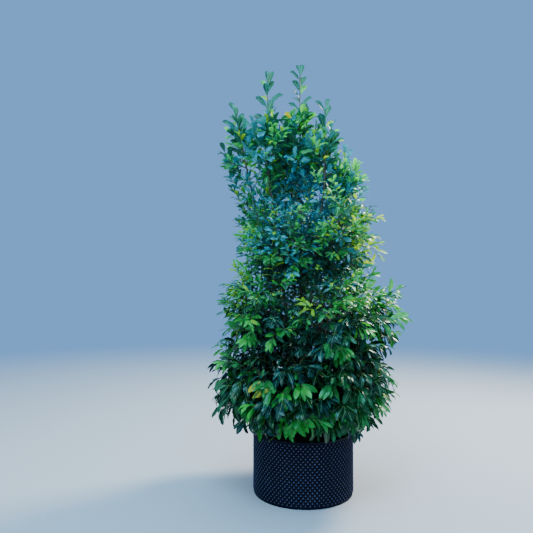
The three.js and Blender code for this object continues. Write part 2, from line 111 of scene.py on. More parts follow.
# How leads and twigs grow: the rule of the solids, with more twigs, and shoots on them.
GOLDEN_ANGLE = math.pi * (3 - math.sqrt(5))
SHORTEST_TWIG = 0.07
TWIG_STEP = 0.02
TWIG_BEND = 0.2
LEAD_SHORT = 0.03
DENSE_TWIGS = 22
INNER_SIDE = -0.35
DENSE_ROOTS = (0.95, 0.55)
CREST_ROOTS = (0.03, 0.6)
CREST_ANGLES = (1.1, 0.45)
CREST_LIFT = 0.3
STEM_SHOOTS = (1.45, 2.50)  # between these heights the stems carry short shoots
STEM_SHOOT_EVERY = 0.028
STEM_SHOOT_LENGTH = (0.09, 0.25)
TURN_PLAY = 0.4
TWIG_SHORT = (0.05, 0.13)  # how far a twig stops below the outline, for its leaves
CREST_TWIG_SHORT = (0.0, 0.20)
LEAD_RADII = (0.0065, 0.0035)  # at the root and at the tip
TWIG_RADII = (0.0045, 0.0026)
SHOOT_RADII = (0.0027, 0.0018)
SHOOT_EVERY = 0.055
SHOOTS_ALONG = (0.12, 0.92)  # the stretch of a twig that carries shoots
STEM_SHOOT_ANGLE = 0.9
LONG_SHOOT_BEND = 0.4
# From which share of its length on each carries leaves
LEADER_LEAVES_FROM = 0.35
TWIG_LEAVES_FROM = 0.3
SHOOT_LEAVES_FROM = 0.2
LONG_SHOOT_LEAVES_FROM = 0.1
SHOOT_ANGLES = (0.95, 0.6)
SHOOT_LENGTH = (0.15, 0.27)
SHOOT_SHORT = 0.05
SHORTEST_SHOOT = 0.06
FLATTEN = 0.6  # how level the shoots of the lower masses spread

# How leaves stand on a shoot.
LEAF_ZONES = (0.80, 1.40, 2.15, 2.65)  # low, the middle's two ends, and high, by height
LEAF_EVERY = (0.022, 0.0132, 0.0150, 0.020)
HIGHER_ON_RIGHT = 0.25  # how much higher up the long leaves reach on the right side
FULLY_RIGHT = 0.5  # how far right that holds in full
EVEN_AGAIN = (1.4, 1.9)  # between these heights that difference ends
LEADER_LEAF_EVERY = 0.036
SHADE_LEAF = 0.78  # how long the leaves inside the crown are, as a share of the others
LEADER_LEAF = 1.25  # and those of the leaders
FEWEST_LEAVES = 4
TIP_LEAVES = 3  # how many more stand close together at the tip
LEAF_CROWDING = 0.85  # under 1, the leaves stand closer towards the tip
LENGTH_PLAY = (0.72, 1.14)
TIP_SHORTER = 0.35  # how much shorter the last leaf is
LEAF_ANGLE = 0.95
LEAF_ANGLE_PLAY = 0.35
LEAST_LEAF_ANGLE = 0.1
LEAF_ROLL = 0.9  # how far a leaf may roll to one side
LEADER_SPREAD = 0.6  # how far the leaves of the leaders stand to the front and the back
LEADER_FACE = np.array([0.0, -1.0, 0.2])  # which way those leaves face
LEADER_ROLL = 0.7
TIP_LEAF_ANGLE = 0.3
LEAF_UPWARD = 0.8
LEAF_BACK = 0.5
ROUNDER = (0.0, 0.0, 0.5, 1.0)  # how much of the top leaves' rounder outline they have, by zone
DROOP = (0.62, 0.18, 0.04, 0.0)
DROOP_PLAY = (0.55, 1.15)
CURL = (0.70, 0.45, 0.40, 0.35)
CURL_PLAY = (0.4, 1.5)
LEVEL_SPREAD = 0.6  # how level the leaves of the lower masses lie before they droop
LEAF_LOWEST = 0.44  # the lowest that a leaf hangs beside the pot
UNDERSIDE_SLOPE = 0.75  # how steeply the crown's underside rises outwards from there
UNDERSIDE_SLACK = 0.05
UNDERSIDE_WAVES = ((3, 0.8, 0.035), (8, 2.1, 0.025))  # round the crown: how many, where, and how high
POT_CLEARANCE = 0.012

UP = np.array([0.0, 0.0, 1.0])


def random_from(seed):
    """Seeded random numbers from 0 to 1, the same on every run."""
    state = seed & 0xFFFFFFFF

    def multiply(a, b):
        return (a * b) & 0xFFFFFFFF

    def draw():
        nonlocal state
        state = (state + 0x6D2B79F5) & 0xFFFFFFFF
        t = multiply(state ^ (state >> 15), state | 1)
        t ^= (t + multiply(t ^ (t >> 7), t | 61)) & 0xFFFFFFFF
        return ((t ^ (t >> 14)) & 0xFFFFFFFF) / 4294967296

    return draw


def unit(v):
    return v / np.linalg.norm(v)


def lerp(a, b, share):
    return a + (b - a) * share


def leave(along, turn, angle):
    """A direction that leaves an axis by an angle, on the side that a turn round the axis gives."""
    side = unit(np.cross([1.0, 0.0, 0.0], along))
    other = np.cross(along, side)
    return along * math.cos(angle) + (side * math.cos(turn) + other * math.sin(turn)) * math.sin(angle)


class Curve:
    """A smooth curve through a few points, read by its length's share."""

    DIVISIONS = 200

    def __init__(self, points):
        points = np.array(points, float)
        first = 2 * points[0] - points[1]
        last = 2 * points[-1] - points[-2]
        through = np.vstack([first, points, last])
        self.spans = len(points) - 1
        before, start, end, after = (through[i:i + self.spans] for i in range(4))
        leaving = 0.5 * (end - before)
        coming = 0.5 * (after - start)
        square = 3 * (end - start) - 2 * leaving - coming
        cube = 2 * (start - end) + leaving + coming
        self.terms = np.stack([start, leaving, square, cube])
        self.places = np.linspace(0, 1, self.DIVISIONS + 1)
        steps = np.diff(self._point(self.places), axis=0)
        self.lengths = np.concatenate([[0], np.cumsum(np.linalg.norm(steps, axis=1))])
        self.length = self.lengths[-1]

    def _terms(self, place):
        """The terms of the span that each place lies in, and how far along the span it is."""
        place = np.clip(np.atleast_1d(place), 0, 1) * self.spans
        span = np.minimum(place.astype(int), self.spans - 1)
        return self.terms[:, span], (place - span)[:, None]

    def _point(self, place):
        (start, leaving, square, cube), t = self._terms(place)
        return start + t * (leaving + t * (square + t * cube))

    def _slope(self, place):
        (_, leaving, square, cube), t = self._terms(place)
        return leaving + t * (2 * square + 3 * t * cube)

    def _place(self, share):
        return np.interp(np.asarray(share) * self.length, self.lengths, self.places)

    def at(self, share):
        points = self._point(self._place(share))
        return points if np.ndim(share) else points[0]

    def along(self, share):
        slopes = self._slope(self._place(share))
        slopes /= np.linalg.norm(slopes, axis=1)[:, None]
        return slopes if np.ndim(share) else slopes[0]


def underside(points):
    """The height of the crown's underside at these points: lowest beside the pot, and rising outwards."""
    out = np.hypot(points[:, 0], points[:, 1]) - POT_BOX[1][0]
    return LEAF_LOWEST + UNDERSIDE_SLOPE * np.maximum(0, out)


class Mass:
    """A mass of leaves: its centre, its half sizes, and its space among the others."""

    def __init__(self, name, centre, wide, tall, lift, tip=None):
        self.name = name
        self.lift = lift
        self.centre = np.array(centre, float)
        self.wide = wide
        self.tall = tall
        self.crest = tip is not None
        self.lead_tip = np.array(tip, float) if self.crest else self.centre
        self.twigs = DENSE_TWIGS
        self.limb = None

    def find_space(self, masses):
        """The borders to the other masses, half way between the centres, and upright in the crest."""
        others = [other for other in masses if other is not self]
        across = np.array([other.centre - self.centre for other in others])
        across[:, 2] *= [not (self.crest and other.crest) for other in others]
        distance = np.linalg.norm(across, axis=1)
        self.ways = across / distance[:, None]
        self.borders = distance / 2

    def holds(self, points, margin):
        """Whether all these points are nearer to this mass than to any other, and not too low."""
        points = np.atleast_2d(points)
        inside = (points - self.centre) @ self.ways.T <= self.borders - margin
        return bool(inside.all() and (points[:, 2] > underside(points)).all())

    def to_outline(self, start, direction):
        """The length of the ray from a point inside to the rounded outline."""
        squash = 1 / np.array([self.wide, self.wide, self.tall])
        p = (start - self.centre) * squash
        d = direction * squash
        b = p @ d
        a = d @ d
        return (math.sqrt(max(0.0, b * b - a * (p @ p - 1))) - b) / a


def lay_out_masses():
    masses = []
    for tier in TIERS:
        for i in range(tier.count):
            angle = math.radians(tier.turn) + i / tier.count * 2 * math.pi
            lift = TIER_LIFT if i % 2 else -TIER_LIFT
            centre = (tier.right + tier.reach * math.cos(angle), tier.reach * math.sin(angle),
                      tier.height + lift)
            masses.append(Mass(f"{tier.name}_{i + 1}", centre, tier.wide, tier.tall, tier.lift))
    for i, crest in enumerate(CREST):
        centre = (crest.right, crest.back, crest.top - crest.tall)
        tip = (crest.right + crest.lean, crest.back, crest.top + crest.leader - LEAD_SHORT)
        mass = Mass(f"crest_{i + 1}", centre, crest.wide, crest.tall, CREST_LIFT, tip)
        mass.twigs = crest.twigs
        masses.append(mass)
    for mass in masses:
        mass.find_space(masses)
    return masses


def tip_in(mass, share, drop):
    """Where the limb that carries a mass ends, well inside the mass's space."""
    x, y, z = mass.centre
    tip = np.array([x * share, y * share, z - drop * mass.tall])
    while not mass.holds(tip, TIP_MARGIN):
        tip = lerp(tip, mass.centre, TIP_STEP)
    return tip


# A stem or bough: the name of its node, and its curve
Limb = namedtuple("Limb", "name curve")


def lay_out_stems(masses):
    foot = STOOL_BOX[1][2] - STEM_SUNK
    crests = [mass for mass in masses if mass.crest]
    crests.sort(key=lambda mass: math.atan2(mass.centre[1], mass.centre[0]))
    for i, mass in enumerate(crests):
        angle = -math.pi + (i + 0.5) / len(crests) * 2 * math.pi
        out = np.array([math.cos(angle), math.sin(angle), 0.0])
        root = out * STEM_CIRCLE + UP * foot
        flare = root + out * STEM_FLARE[0] + UP * STEM_FLARE[1]
        tip = tip_in(mass, **STEM_TIP)
        middle = lerp(out * STEM_SPREAD + UP * STEM_MIDDLE, np.array([*tip[:2], STEM_MIDDLE]), STEM_LEAN)
        mass.limb = Limb(f"stem_{mass.name[-1]}", Curve([root, flare, middle, tip]))
    return [mass.limb for mass in crests]


def lay_out_boughs(masses, stems):
    dense = [mass for mass in masses if not mass.crest]
    places = np.concatenate([stem.curve.at(np.linspace(0, 1, STEM_SAMPLES)) for stem in stems])
    for mass in dense:
        tip = tip_in(mass, **BOUGH_TIP)
        height = max(BOUGH_LOWEST, tip[2] - BOUGH_RISE)
        near = places[np.abs(places[:, 2] - height) < HOST_SEARCH]
        root = near[np.linalg.norm(near - tip, axis=1).argmin()]
        knee = lerp(root, tip, BOUGH_KNEE) - UP * BOUGH_SAG * (tip[2] - root[2])
        mass.limb = Limb(f"bough_{mass.name}", Curve([root, knee, tip]))
    return [mass.limb for mass in dense]


def build_mesh(name, corners, *face_groups, smooth=True):
    """A mesh from an array of corners and arrays of faces, each array with its own number of corners."""
    mesh = bpy.data.meshes.new(name)
    faces = [face for group in face_groups for face in np.asarray(group).tolist()]
    mesh.from_pydata(np.asarray(corners).tolist(), [], faces, shade_flat=not smooth)
    mesh.validate()
    return mesh


def add_piece(name, mesh, finish, slot, nodes):
    """Adds a piece of the plant: it rides on the one body, and stands for these nodes."""
    piece = bpy.data.objects.new(name, mesh)
    bpy.context.scene.collection.objects.link(piece)
    piece.data.materials.append(finish)
    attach(piece, "root")
    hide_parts(*nodes)
    return piece


def circle(count):
    """Directions at even turns round the vertical."""
    turns = np.linspace(0, 2 * math.pi, count, endpoint=False)
    return np.stack([np.cos(turns), np.sin(turns), np.zeros(count)], axis=1)


def grid_faces(rows, columns, closed=False):
    """Quads between rows of corners that lie one after the other. Closed rows are rings."""
    row, column = np.meshgrid(np.arange(rows - 1), np.arange(columns - (not closed)), indexing="ij")
    after = (column + 1) % columns
    quads = np.stack([row * columns + column, row * columns + after,
                      (row + 1) * columns + after, (row + 1) * columns + column], axis=-1)
    return quads.reshape(-1, 4)


def copied(faces, copies, corners):
    """The faces of a form for each of its copies, which have this many corners each."""
    faces = np.array(faces)
    starts = np.arange(copies)[:, None, None] * corners
    return (faces + starts).reshape(-1, faces.shape[1])


def shell(rings, start=None, end=None):
    """The corners, quads and triangles of a round form: its rings of corners, and the middle points that
    close it at its start and its end."""
    rings = np.array(rings)
    count, columns, _ = rings.shape
    corners = [rings.reshape(-1, 3)]
    fans = []
    middle = count * columns
    column = np.arange(columns)
    after = np.roll(column, -1)
    last = (count - 1) * columns
    for point, first, second in ((start, after, column), (end, column + last, after + last)):
        if point is not None:
            corners.append([point])
            fans.append(np.stack([first, second, np.full(columns, middle)], axis=1))
            middle += 1
    return np.concatenate(corners), grid_faces(count, columns, closed=True), np.concatenate(fans)


def rings_round(paths, radii, sides):
    """Rings of corners round paths, which are tubes by points by 3, and which way each corner faces."""
    slopes = np.gradient(paths, axis=1)
    slopes /= np.linalg.norm(slopes, axis=2)[:, :, None]
    rough = np.abs(slopes.mean(axis=1))
    aside = np.eye(3)[rough.argmin(axis=1)][:, None, :]
    normals = np.cross(slopes, aside)
    normals /= np.linalg.norm(normals, axis=2)[:, :, None]
    others = np.cross(slopes, normals)
    across, along, _ = circle(sides).T[..., None]
    out = normals[:, :, None] * across + others[:, :, None] * along
    return paths[:, :, None] + out * radii[:, :, None, None], out


def tubes(paths, radii, sides):
    """The corners, quads and triangles of tubes that all have the same number of points."""
    count, points = radii.shape
    each = points * sides
    last = each - sides
    fan = [[last, last + i, last + i + 1] for i in range(1, sides - 1)]
    corners = rings_round(paths, radii, sides)[0].reshape(-1, 3)
    return corners, copied(grid_faces(points, sides, closed=True), count, each), copied(fan, count, each)


def joined_mesh(name, forms):
    """One mesh of several forms, each given by its corners, quads and triangles."""
    starts = np.cumsum([0] + [len(corners) for corners, _, _ in forms])
    corners, quads, fans = (
        np.concatenate([form[part] + (start if part else 0) for form, start in zip(forms, starts)])
        for part in range(3))
    return build_mesh(name, corners, quads, fans)


class Value:
    """A number's socket in a shader. Python's arithmetic on it adds the Math nodes."""

    def __init__(self, nodes, socket):
        self.nodes = nodes
        self.socket = socket

    def maths(self, operation, *numbers):
        return self.nodes.node("ShaderNodeMath", {"operation": operation}, dict(enumerate(numbers)))

    def __add__(self, other):
        return self.maths("ADD", self, other)

    def __radd__(self, other):
        return self.maths("ADD", other, self)

    def __sub__(self, other):
        return self.maths("SUBTRACT", self, other)

    def __rsub__(self, other):
        return self.maths("SUBTRACT", other, self)

    def __mul__(self, other):
        return self.maths("MULTIPLY", self, other)

    def __rmul__(self, other):
        return self.maths("MULTIPLY", other, self)

    def ramp(self, low, high):
        """A smooth step from 0 at low to 1 at high."""
        sockets = {"Value": self, "From Min": low, "From Max": high}
        return self.nodes.node("ShaderNodeMapRange", {"interpolation_type": "SMOOTHSTEP"}, sockets)


class Nodes:
    """The nodes of a finish or of the surroundings."""

    def __init__(self, owner):
        owner.use_nodes = True
        self.tree = owner.node_tree

    def node(self, kind, settings=None, sockets=None, output=0):
        """Adds a node: its settings first, then the values or links of its sockets."""
        added = self.tree.nodes.new(kind)
        for name, value in (settings or {}).items():
            setattr(added, name, value)
        for name, value in (sockets or {}).items():
            if isinstance(value, Value):
                self.tree.links.new(value.socket, added.inputs[name])
            else:
                added.inputs[name].default_value = value
        return Value(self, added.outputs[output])

    def parts(self, vector, axes):
        """The numbers of a vector along some axes."""
        node = self.node("ShaderNodeSeparateXYZ", None, {0: vector}).socket.node
        return [Value(self, node.outputs[axis]) for axis in axes]

    def blend(self, share, first, second):
        """A colour between two others."""
        sockets = {0: share}
        for name, colour in ((6, first), (7, second)):
            sockets[name] = colour if isinstance(colour, Value) else (*colour[:3], 1.0)
        return self.node("ShaderNodeMix", {"data_type": "RGBA"}, sockets, output=2)

    def link(self, value, node, socket):
        self.tree.links.new(value.socket, self.tree.nodes[node].inputs[socket])


class Finish(Nodes):
    """A material whose Principled shader takes what its nodes work out."""

    def __init__(self, name, constants):
        self.material = bpy.data.materials.new(name)
        super().__init__(self.material)
        self.shader = self.tree.nodes["Principled BSDF"]
        for socket, value in constants.items():
            self.shader.inputs[socket].default_value = value

    def place(self):
        """The place on the piece, in metres."""
        return self.node("ShaderNodeTexCoord", output="Object")

    def square_from_axis(self):
        """The square of the place's distance from the plant's upright axis."""
        across, back = self.parts(self.place(), "XY")
        return across * across + back * back

    def noise(self, size, stretch=(1, 1, 1), detail=3.0, roughness=0.55):
        """Noise whose lumps are about this size, in metres, stretched along the axes."""
        scaled = self.node("ShaderNodeVectorMath", {"operation": "MULTIPLY"},
                           {0: self.place(), 1: [1 / (size * s) for s in stretch]})
        sockets = {"Vector": scaled, "Scale": 1.0, "Detail": detail, "Roughness": roughness}
        return self.node("ShaderNodeTexNoise", None, sockets)

    def give(self, socket, value):
        self.link(value, self.shader.name, socket)

    def roughen(self, least, *more):
        """The roughness: the least that it is, and how much each noise adds to it."""
        roughness = least
        for share, noise in more:
            roughness = roughness + share * noise
        self.give("Roughness", roughness)

    def bump(self, height, distance, strength):
        sockets = {"Height": height, "Distance": distance, "Strength": strength}
        self.give("Normal", self.node("ShaderNodeBump", None, sockets))

    def let_through(self, share, colour):
        """Mixes in light that comes through, as through a thin leaf."""
        through = self.node("ShaderNodeBsdfTranslucent", None, {"Color": (*colour[:3], 1.0)})
        shader = Value(self, self.shader.outputs[0])
        both = self.node("ShaderNodeMixShader", None, {0: share, 1: shader, 2: through})
        self.link(both, "Material Output", "Surface")


def number_property(name, description, default, **kind):
    return FloatProperty(name=name, description=description, default=default, **kind)


def length_property(name, description, default):
    return number_property(name, description, default, unit="LENGTH", precision=4)


def power_property(name, description, default):
    return number_property(name, description, default, subtype="POWER")


def count_property(name, description, default):
    return IntProperty(name=name, description=description, default=default)


def colour_property(name, description, default):
    return FloatVectorProperty(name=name, description=description, default=default, subtype="COLOR",
                               size=3, min=0, max=1)


class PotSettings(bpy.types.PropertyGroup):
    radius: length_property("Radius", "Over the tips of the dimples", POT_BOX[1][0])
    height: length_property("Height", "From the floor to the rim", POT_BOX[1][2])
    base: length_property("Base", "Thickness of the bottom", 0.01)
    band: length_property("Rim band", "Plain edge above and below the dimples", 0.007)
    depth: length_property("Dimple depth", "From the tips to the bottoms of the hollows", 0.016)
    wall: length_property("Wall", "Thickness of the plastic sheet", 0.003)
    columns: count_property("Columns", "Tips and hollows round the pot, an even number", 146)
    rows: count_property("Rows", "Rows of tips and hollows", 25)
    plastic: colour_property("Plastic", "Colour of the plastic", (0.0006, 0.0010, 0.0075))
    # The tips' colour is a painted highlight: a pale blue-grey that stands in for the sky reflected on the
    # dimple tips.
    tip_highlight: colour_property("Worn tips", "Colour of the rubbed and dusty tips", (0.150, 0.180, 0.330))


class CompostSettings(bpy.types.PropertyGroup):
    below_rim: length_property("Below rim", "How far the compost stops below the rim",
                               POT_BOX[1][2] - COMPOST_BOX[1][2])
    settled: length_property("Settled", "How far it has sunk at the wall", 0.012)
    slope: length_property("Slope", "Width of that slope", 0.06)
    clods: length_property("Clods", "Height of the lumps on top", 0.006)
    chips: count_property("Chips", "Pieces of bark on top", 900)
    soil: colour_property("Soil", "Colour of the compost", (0.022, 0.013, 0.008))
    chip: colour_property("Bark chips", "Colour of the dry bark chips", (0.19, 0.105, 0.055))


class BarkSettings(bpy.types.PropertyGroup):
    stem_root: length_property("Stem root", "Radius of a stem at its root", 0.019)
    stem_tip: length_property("Stem tip", "Radius of a stem at its tip", 0.008)
    bough_root: length_property("Bough root", "Radius of a side bough at its root", 0.011)
    bough_tip: length_property("Bough tip", "Radius of a side bough at its tip", 0.007)
    relief: length_property("Relief", "Height of the bark's ridges", 0.0012)
    dark: colour_property("Dark bark", "Colour in the furrows", (0.035, 0.026, 0.018))
    light: colour_property("Light bark", "Colour on the ridges", (0.165, 0.125, 0.088))


# Each kind of leaf: what its colour is called and is for, the colour, the roughness, and how much light
# comes through.
LeafKind = namedtuple("LeafKind", "label use colour roughness through")
LEAF_KINDS = {
    # Painted shade: the three inner kinds below are the dark colours of leaves inside the crown, where the
    # others shade them; the highest of them is also tinted blue as painted haze of sky light.
    "shade": LeafKind("Shaded green", "Old leaves inside, low down", (0.0008, 0.015, 0.008), 0.26, 0.06),
    "gloom": LeafKind("Gloomy green", "Leaves inside, half way up", (0.008, 0.090, 0.048), 0.28, 0.10),
    "dusk": LeafKind("Dusky green", "Leaves inside, high up", (0.015, 0.175, 0.225), 0.28, 0.10),
    "deep": LeafKind("Deep green", "Old leaves outside", (0.0008, 0.036, 0.011), 0.24, 0.16),
    "grown": LeafKind("Full green", "Last year's leaves outside", (0.005, 0.092, 0.028), 0.24, 0.18),
    # Painted reflection: the next two kinds are blue-tinted greens that stand in for the sky reflected in
    # leaves that face it, dark low down and lighter and bluer high up.
    "slate": LeafKind("Slate green", "Old leaves that face the sky", (0.002, 0.040, 0.036), 0.22, 0.10),
    "teal": LeafKind("Blue green", "High leaves that face the sky", (0.030, 0.260, 0.285), 0.32, 0.16),
    "crest": LeafKind("Crest green", "Leaves of the top shoots", (0.013, 0.105, 0.068), 0.36, 0.24),
    "middle": LeafKind("Middle green", "Grown leaves of this year", (0.020, 0.205, 0.036), 0.30, 0.24),
    "fresh": LeafKind("Fresh green", "Leaves of new shoots", (0.034, 0.360, 0.042), 0.32, 0.34),
    # Painted light: the light green's brightness stands in for the glow of thin leaves lit from behind,
    # besides the light that really comes through them.
    "light": LeafKind("Light green", "Thin leaves against the light", (0.060, 0.400, 0.110), 0.36, 0.46),
    "olive": LeafKind("Olive", "Leaves that turn yellow-green", (0.26, 0.56, 0.030), 0.40, 0.46),
    "yellow": LeafKind("Yellow", "A few leaves about to drop", (0.55, 0.42, 0.02), 0.45, 0.32),
}
INNER_KINDS = ("shade", "gloom", "dusk")
LIGHT_KINDS = ("fresh", "light", "olive", "yellow")
YELLOWING_KINDS = ("middle", "grown", "deep")


class LeafSettings(bpy.types.PropertyGroup):
    length: length_property("Length", "Length of a full-grown blade", 0.142)
    middle_length: length_property("Length half way up", "Length of a blade half way up", 0.079)
    top_length: length_property("Length at the top", "Length of a blade on the top shoots", 0.108)
    width: number_property("Width", "Width of a low blade as a share of its length", 0.33)
    top_width: number_property("Width at the top", "The same of a blade on the top shoots", 0.46)
    fold: number_property("Fold", "How steeply its halves rise from the rib", 0.52)
    wave: number_property("Wave", "How wavy its margin is", 0.18)
    stalk: number_property("Stalk", "Length of its stalk as a share of the blade", 0.1)
    rib: colour_property("Rib", "Midribs", (0.20, 0.40, 0.12))
    shoot: colour_property("Shoot", "Green shoots and stalks", (0.10, 0.19, 0.03))
    twig: colour_property("Twig", "Brown twigs", (0.115, 0.068, 0.035))


for kind_name, leaf_kind in LEAF_KINDS.items():
    LeafSettings.__annotations__[kind_name] = colour_property(*leaf_kind[:3])


class StageSettings(bpy.types.PropertyGroup):
    camera: FloatVectorProperty(name="Camera", description="Where the camera stands",
                                default=(-0.277, -4.1, 1.55), subtype="TRANSLATION", unit="LENGTH")
    tilt: number_property("Tilt", "How far the camera looks up", math.radians(2), subtype="ANGLE")
    lens: number_property("Lens", "Focal length in millimetres on a 36 mm sensor", 36.0)
    floor: colour_property("Floor", "Colour of the floor", (0.50, 0.50, 0.49))
    sky: colour_property("Surroundings", "Colour of the soft light from all sides", (0.20, 0.48, 1.0))
    sky_strength: number_property("Surroundings' strength", "Of that soft light, at eye level", 0.85)
    zenith: colour_property("Overhead", "Colour of the soft light from above", (0.42, 0.72, 1.0))
    zenith_strength: number_property("Strength overhead", "Of the soft light from above", 2.6)
    key_power: power_property("Key light", "Power of the light from the upper right", 810.0)
    cool_power: power_property("Cool light", "Power of the blue light over the top's front", 200.0)
    fill_power: power_property("Fill light", "Power of the light from the left front", 150.0)


class LAUREL_OT_pot(bpy.types.Operator):
    """Make the nursery pot, its wall dimpled like an egg box"""

    bl_idname = "laurel.pot"
    bl_label = "Pot"

    COLUMN_STEPS = 4
    ROW_STEPS = 3
    TIP_SHARE = 0.92  # where a tip or a hollow becomes flat, as a share of its height
    INNER_ROWS = 4  # rows of dimples that show inside, above the compost
    RIM_IN = 0.001  # how far in and down the rim's edges are rounded
    RIM_DOWN = 0.002
    FLOOR_MIDDLE = 0.001  # radius of the last ring on the bottom, inside
    HIGHLIGHT_DEPTH = 0.0045  # how deep below its top a tip gets the painted highlight
    HIGHLIGHT_LEAST = 0.35  # how strong a tip's painted highlight is, and how much more so in blotches
    HIGHLIGHT_MORE = 0.9
    DUST = (0.05, 0.045, 0.04)
    MOST_DUST = 0.35

    def wall_ring(self, settings, row, inset=0.0):
        """A ring of the dimpled wall: how far out each corner is, and how high they all are."""
        columns = np.arange(settings.columns * self.COLUMN_STEPS) / self.COLUMN_STEPS
        wave = np.cos(math.pi * columns) * np.cos(math.pi * row)
        dimple = 0.5 + 0.5 * np.clip(wave / self.TIP_SHARE, -1, 1)
        out = lerp(0.5, dimple, min(1.0, row, settings.rows - row))
        rise = (settings.height - 2 * settings.band) / settings.rows
        return settings.radius - settings.depth * (1 - out) - inset, settings.band + row * rise

    def rings(self, settings):
        """The same for every ring, from the bottom out, up and in again."""
        band = settings.radius - settings.depth / 2
        inner = band - settings.wall
        hollow = settings.radius - settings.depth - settings.wall
        yield band, 0.0
        yield band, settings.band / 2
        for step in range(settings.rows * self.ROW_STEPS + 1):
            yield self.wall_ring(settings, step / self.ROW_STEPS)
        yield band, settings.height - self.RIM_DOWN
        yield band - self.RIM_IN, settings.height
        yield inner, settings.height
        yield inner - self.RIM_IN, settings.height - self.RIM_DOWN
        inner_steps = self.INNER_ROWS * self.ROW_STEPS + 1
        for step in range(inner_steps):
            yield self.wall_ring(settings, settings.rows - step / self.ROW_STEPS, settings.wall)
        yield hollow, self.wall_ring(settings, settings.rows - inner_steps / self.ROW_STEPS)[1]
        yield hollow, settings.base
        yield self.FLOOR_MIDDLE, settings.base

    def execute(self, context):
        settings = context.scene.laurel_pot
        around = circle(settings.columns * self.COLUMN_STEPS)
        rings = [around * np.reshape(out, (-1, 1)) + UP * height for out, height in self.rings(settings)]
        mesh = build_mesh("pot", *shell(rings, UP * 0, UP * settings.base))
        add_piece("dimpled_pot", mesh, self.plastic(settings), "pot_plastic", ["pot"])
        return {"FINISHED"}

    def plastic(self, settings):
        """Black plastic with dust and roughness in blotches, and painted highlights on its tips that are
        stronger in blotches.
        """
        finish = Finish("pot_plastic", {"Specular IOR Level": 0.12})
        # Painted highlight: the outermost millimetres of each dimple tip blend towards the pale tip colour,
        # more so in blotches.
        tip = finish.square_from_axis().ramp((settings.radius - self.HIGHLIGHT_DEPTH) ** 2, settings.radius ** 2)
        blotches = finish.noise(0.12, detail=4.0)
        grain = finish.noise(0.0015, detail=2.0)
        dusty = finish.blend(blotches.ramp(0.55, 0.85) * self.MOST_DUST, settings.plastic, self.DUST)
        pale = tip * (self.HIGHLIGHT_LEAST + self.HIGHLIGHT_MORE * blotches)
        finish.give("Base Color", finish.blend(pale, dusty, settings.tip_highlight))
        finish.roughen(0.34, (0.16, blotches), (0.08, grain))
        finish.bump(grain, distance=0.0002, strength=0.35)
        return finish.material


class CompostTop:
    """The top of the compost in its pot."""

    INTO_WALL = 0.001
    COARSE = 22  # lumps to a metre
    FINE = 110
    COARSE_SHARE = 0.8
    FINE_SHARE = 0.45
    COARSE_LAYER = 0.3  # at which height the noise is cut
    FINE_LAYER = 4.0
    OCTAVES = (1.0, 2.0, 3)  # how much each is fainter and finer than the last, and how many

    def __init__(self, settings, pot):
        self.settings = settings
        self.radius = pot.radius - pot.depth - pot.wall + self.INTO_WALL
        self.level = pot.height - settings.below_rim

    def at(self, place):
        """The point of the top that is straight above or below a place."""
        x, y, _ = place
        edge = (self.radius - math.hypot(x, y)) / self.settings.slope
        sunk = self.settings.settled * min(1.0, max(0.0, 1 - edge))
        coarse = noise.fractal(Vector((x * self.COARSE, y * self.COARSE, self.COARSE_LAYER)), *self.OCTAVES)
        fine = noise.noise(Vector((x * self.FINE, y * self.FINE, self.FINE_LAYER)))
        lumps = self.settings.clods * (self.COARSE_SHARE * coarse + self.FINE_SHARE * fine)
        return np.array([x, y, self.level - sunk + lumps])


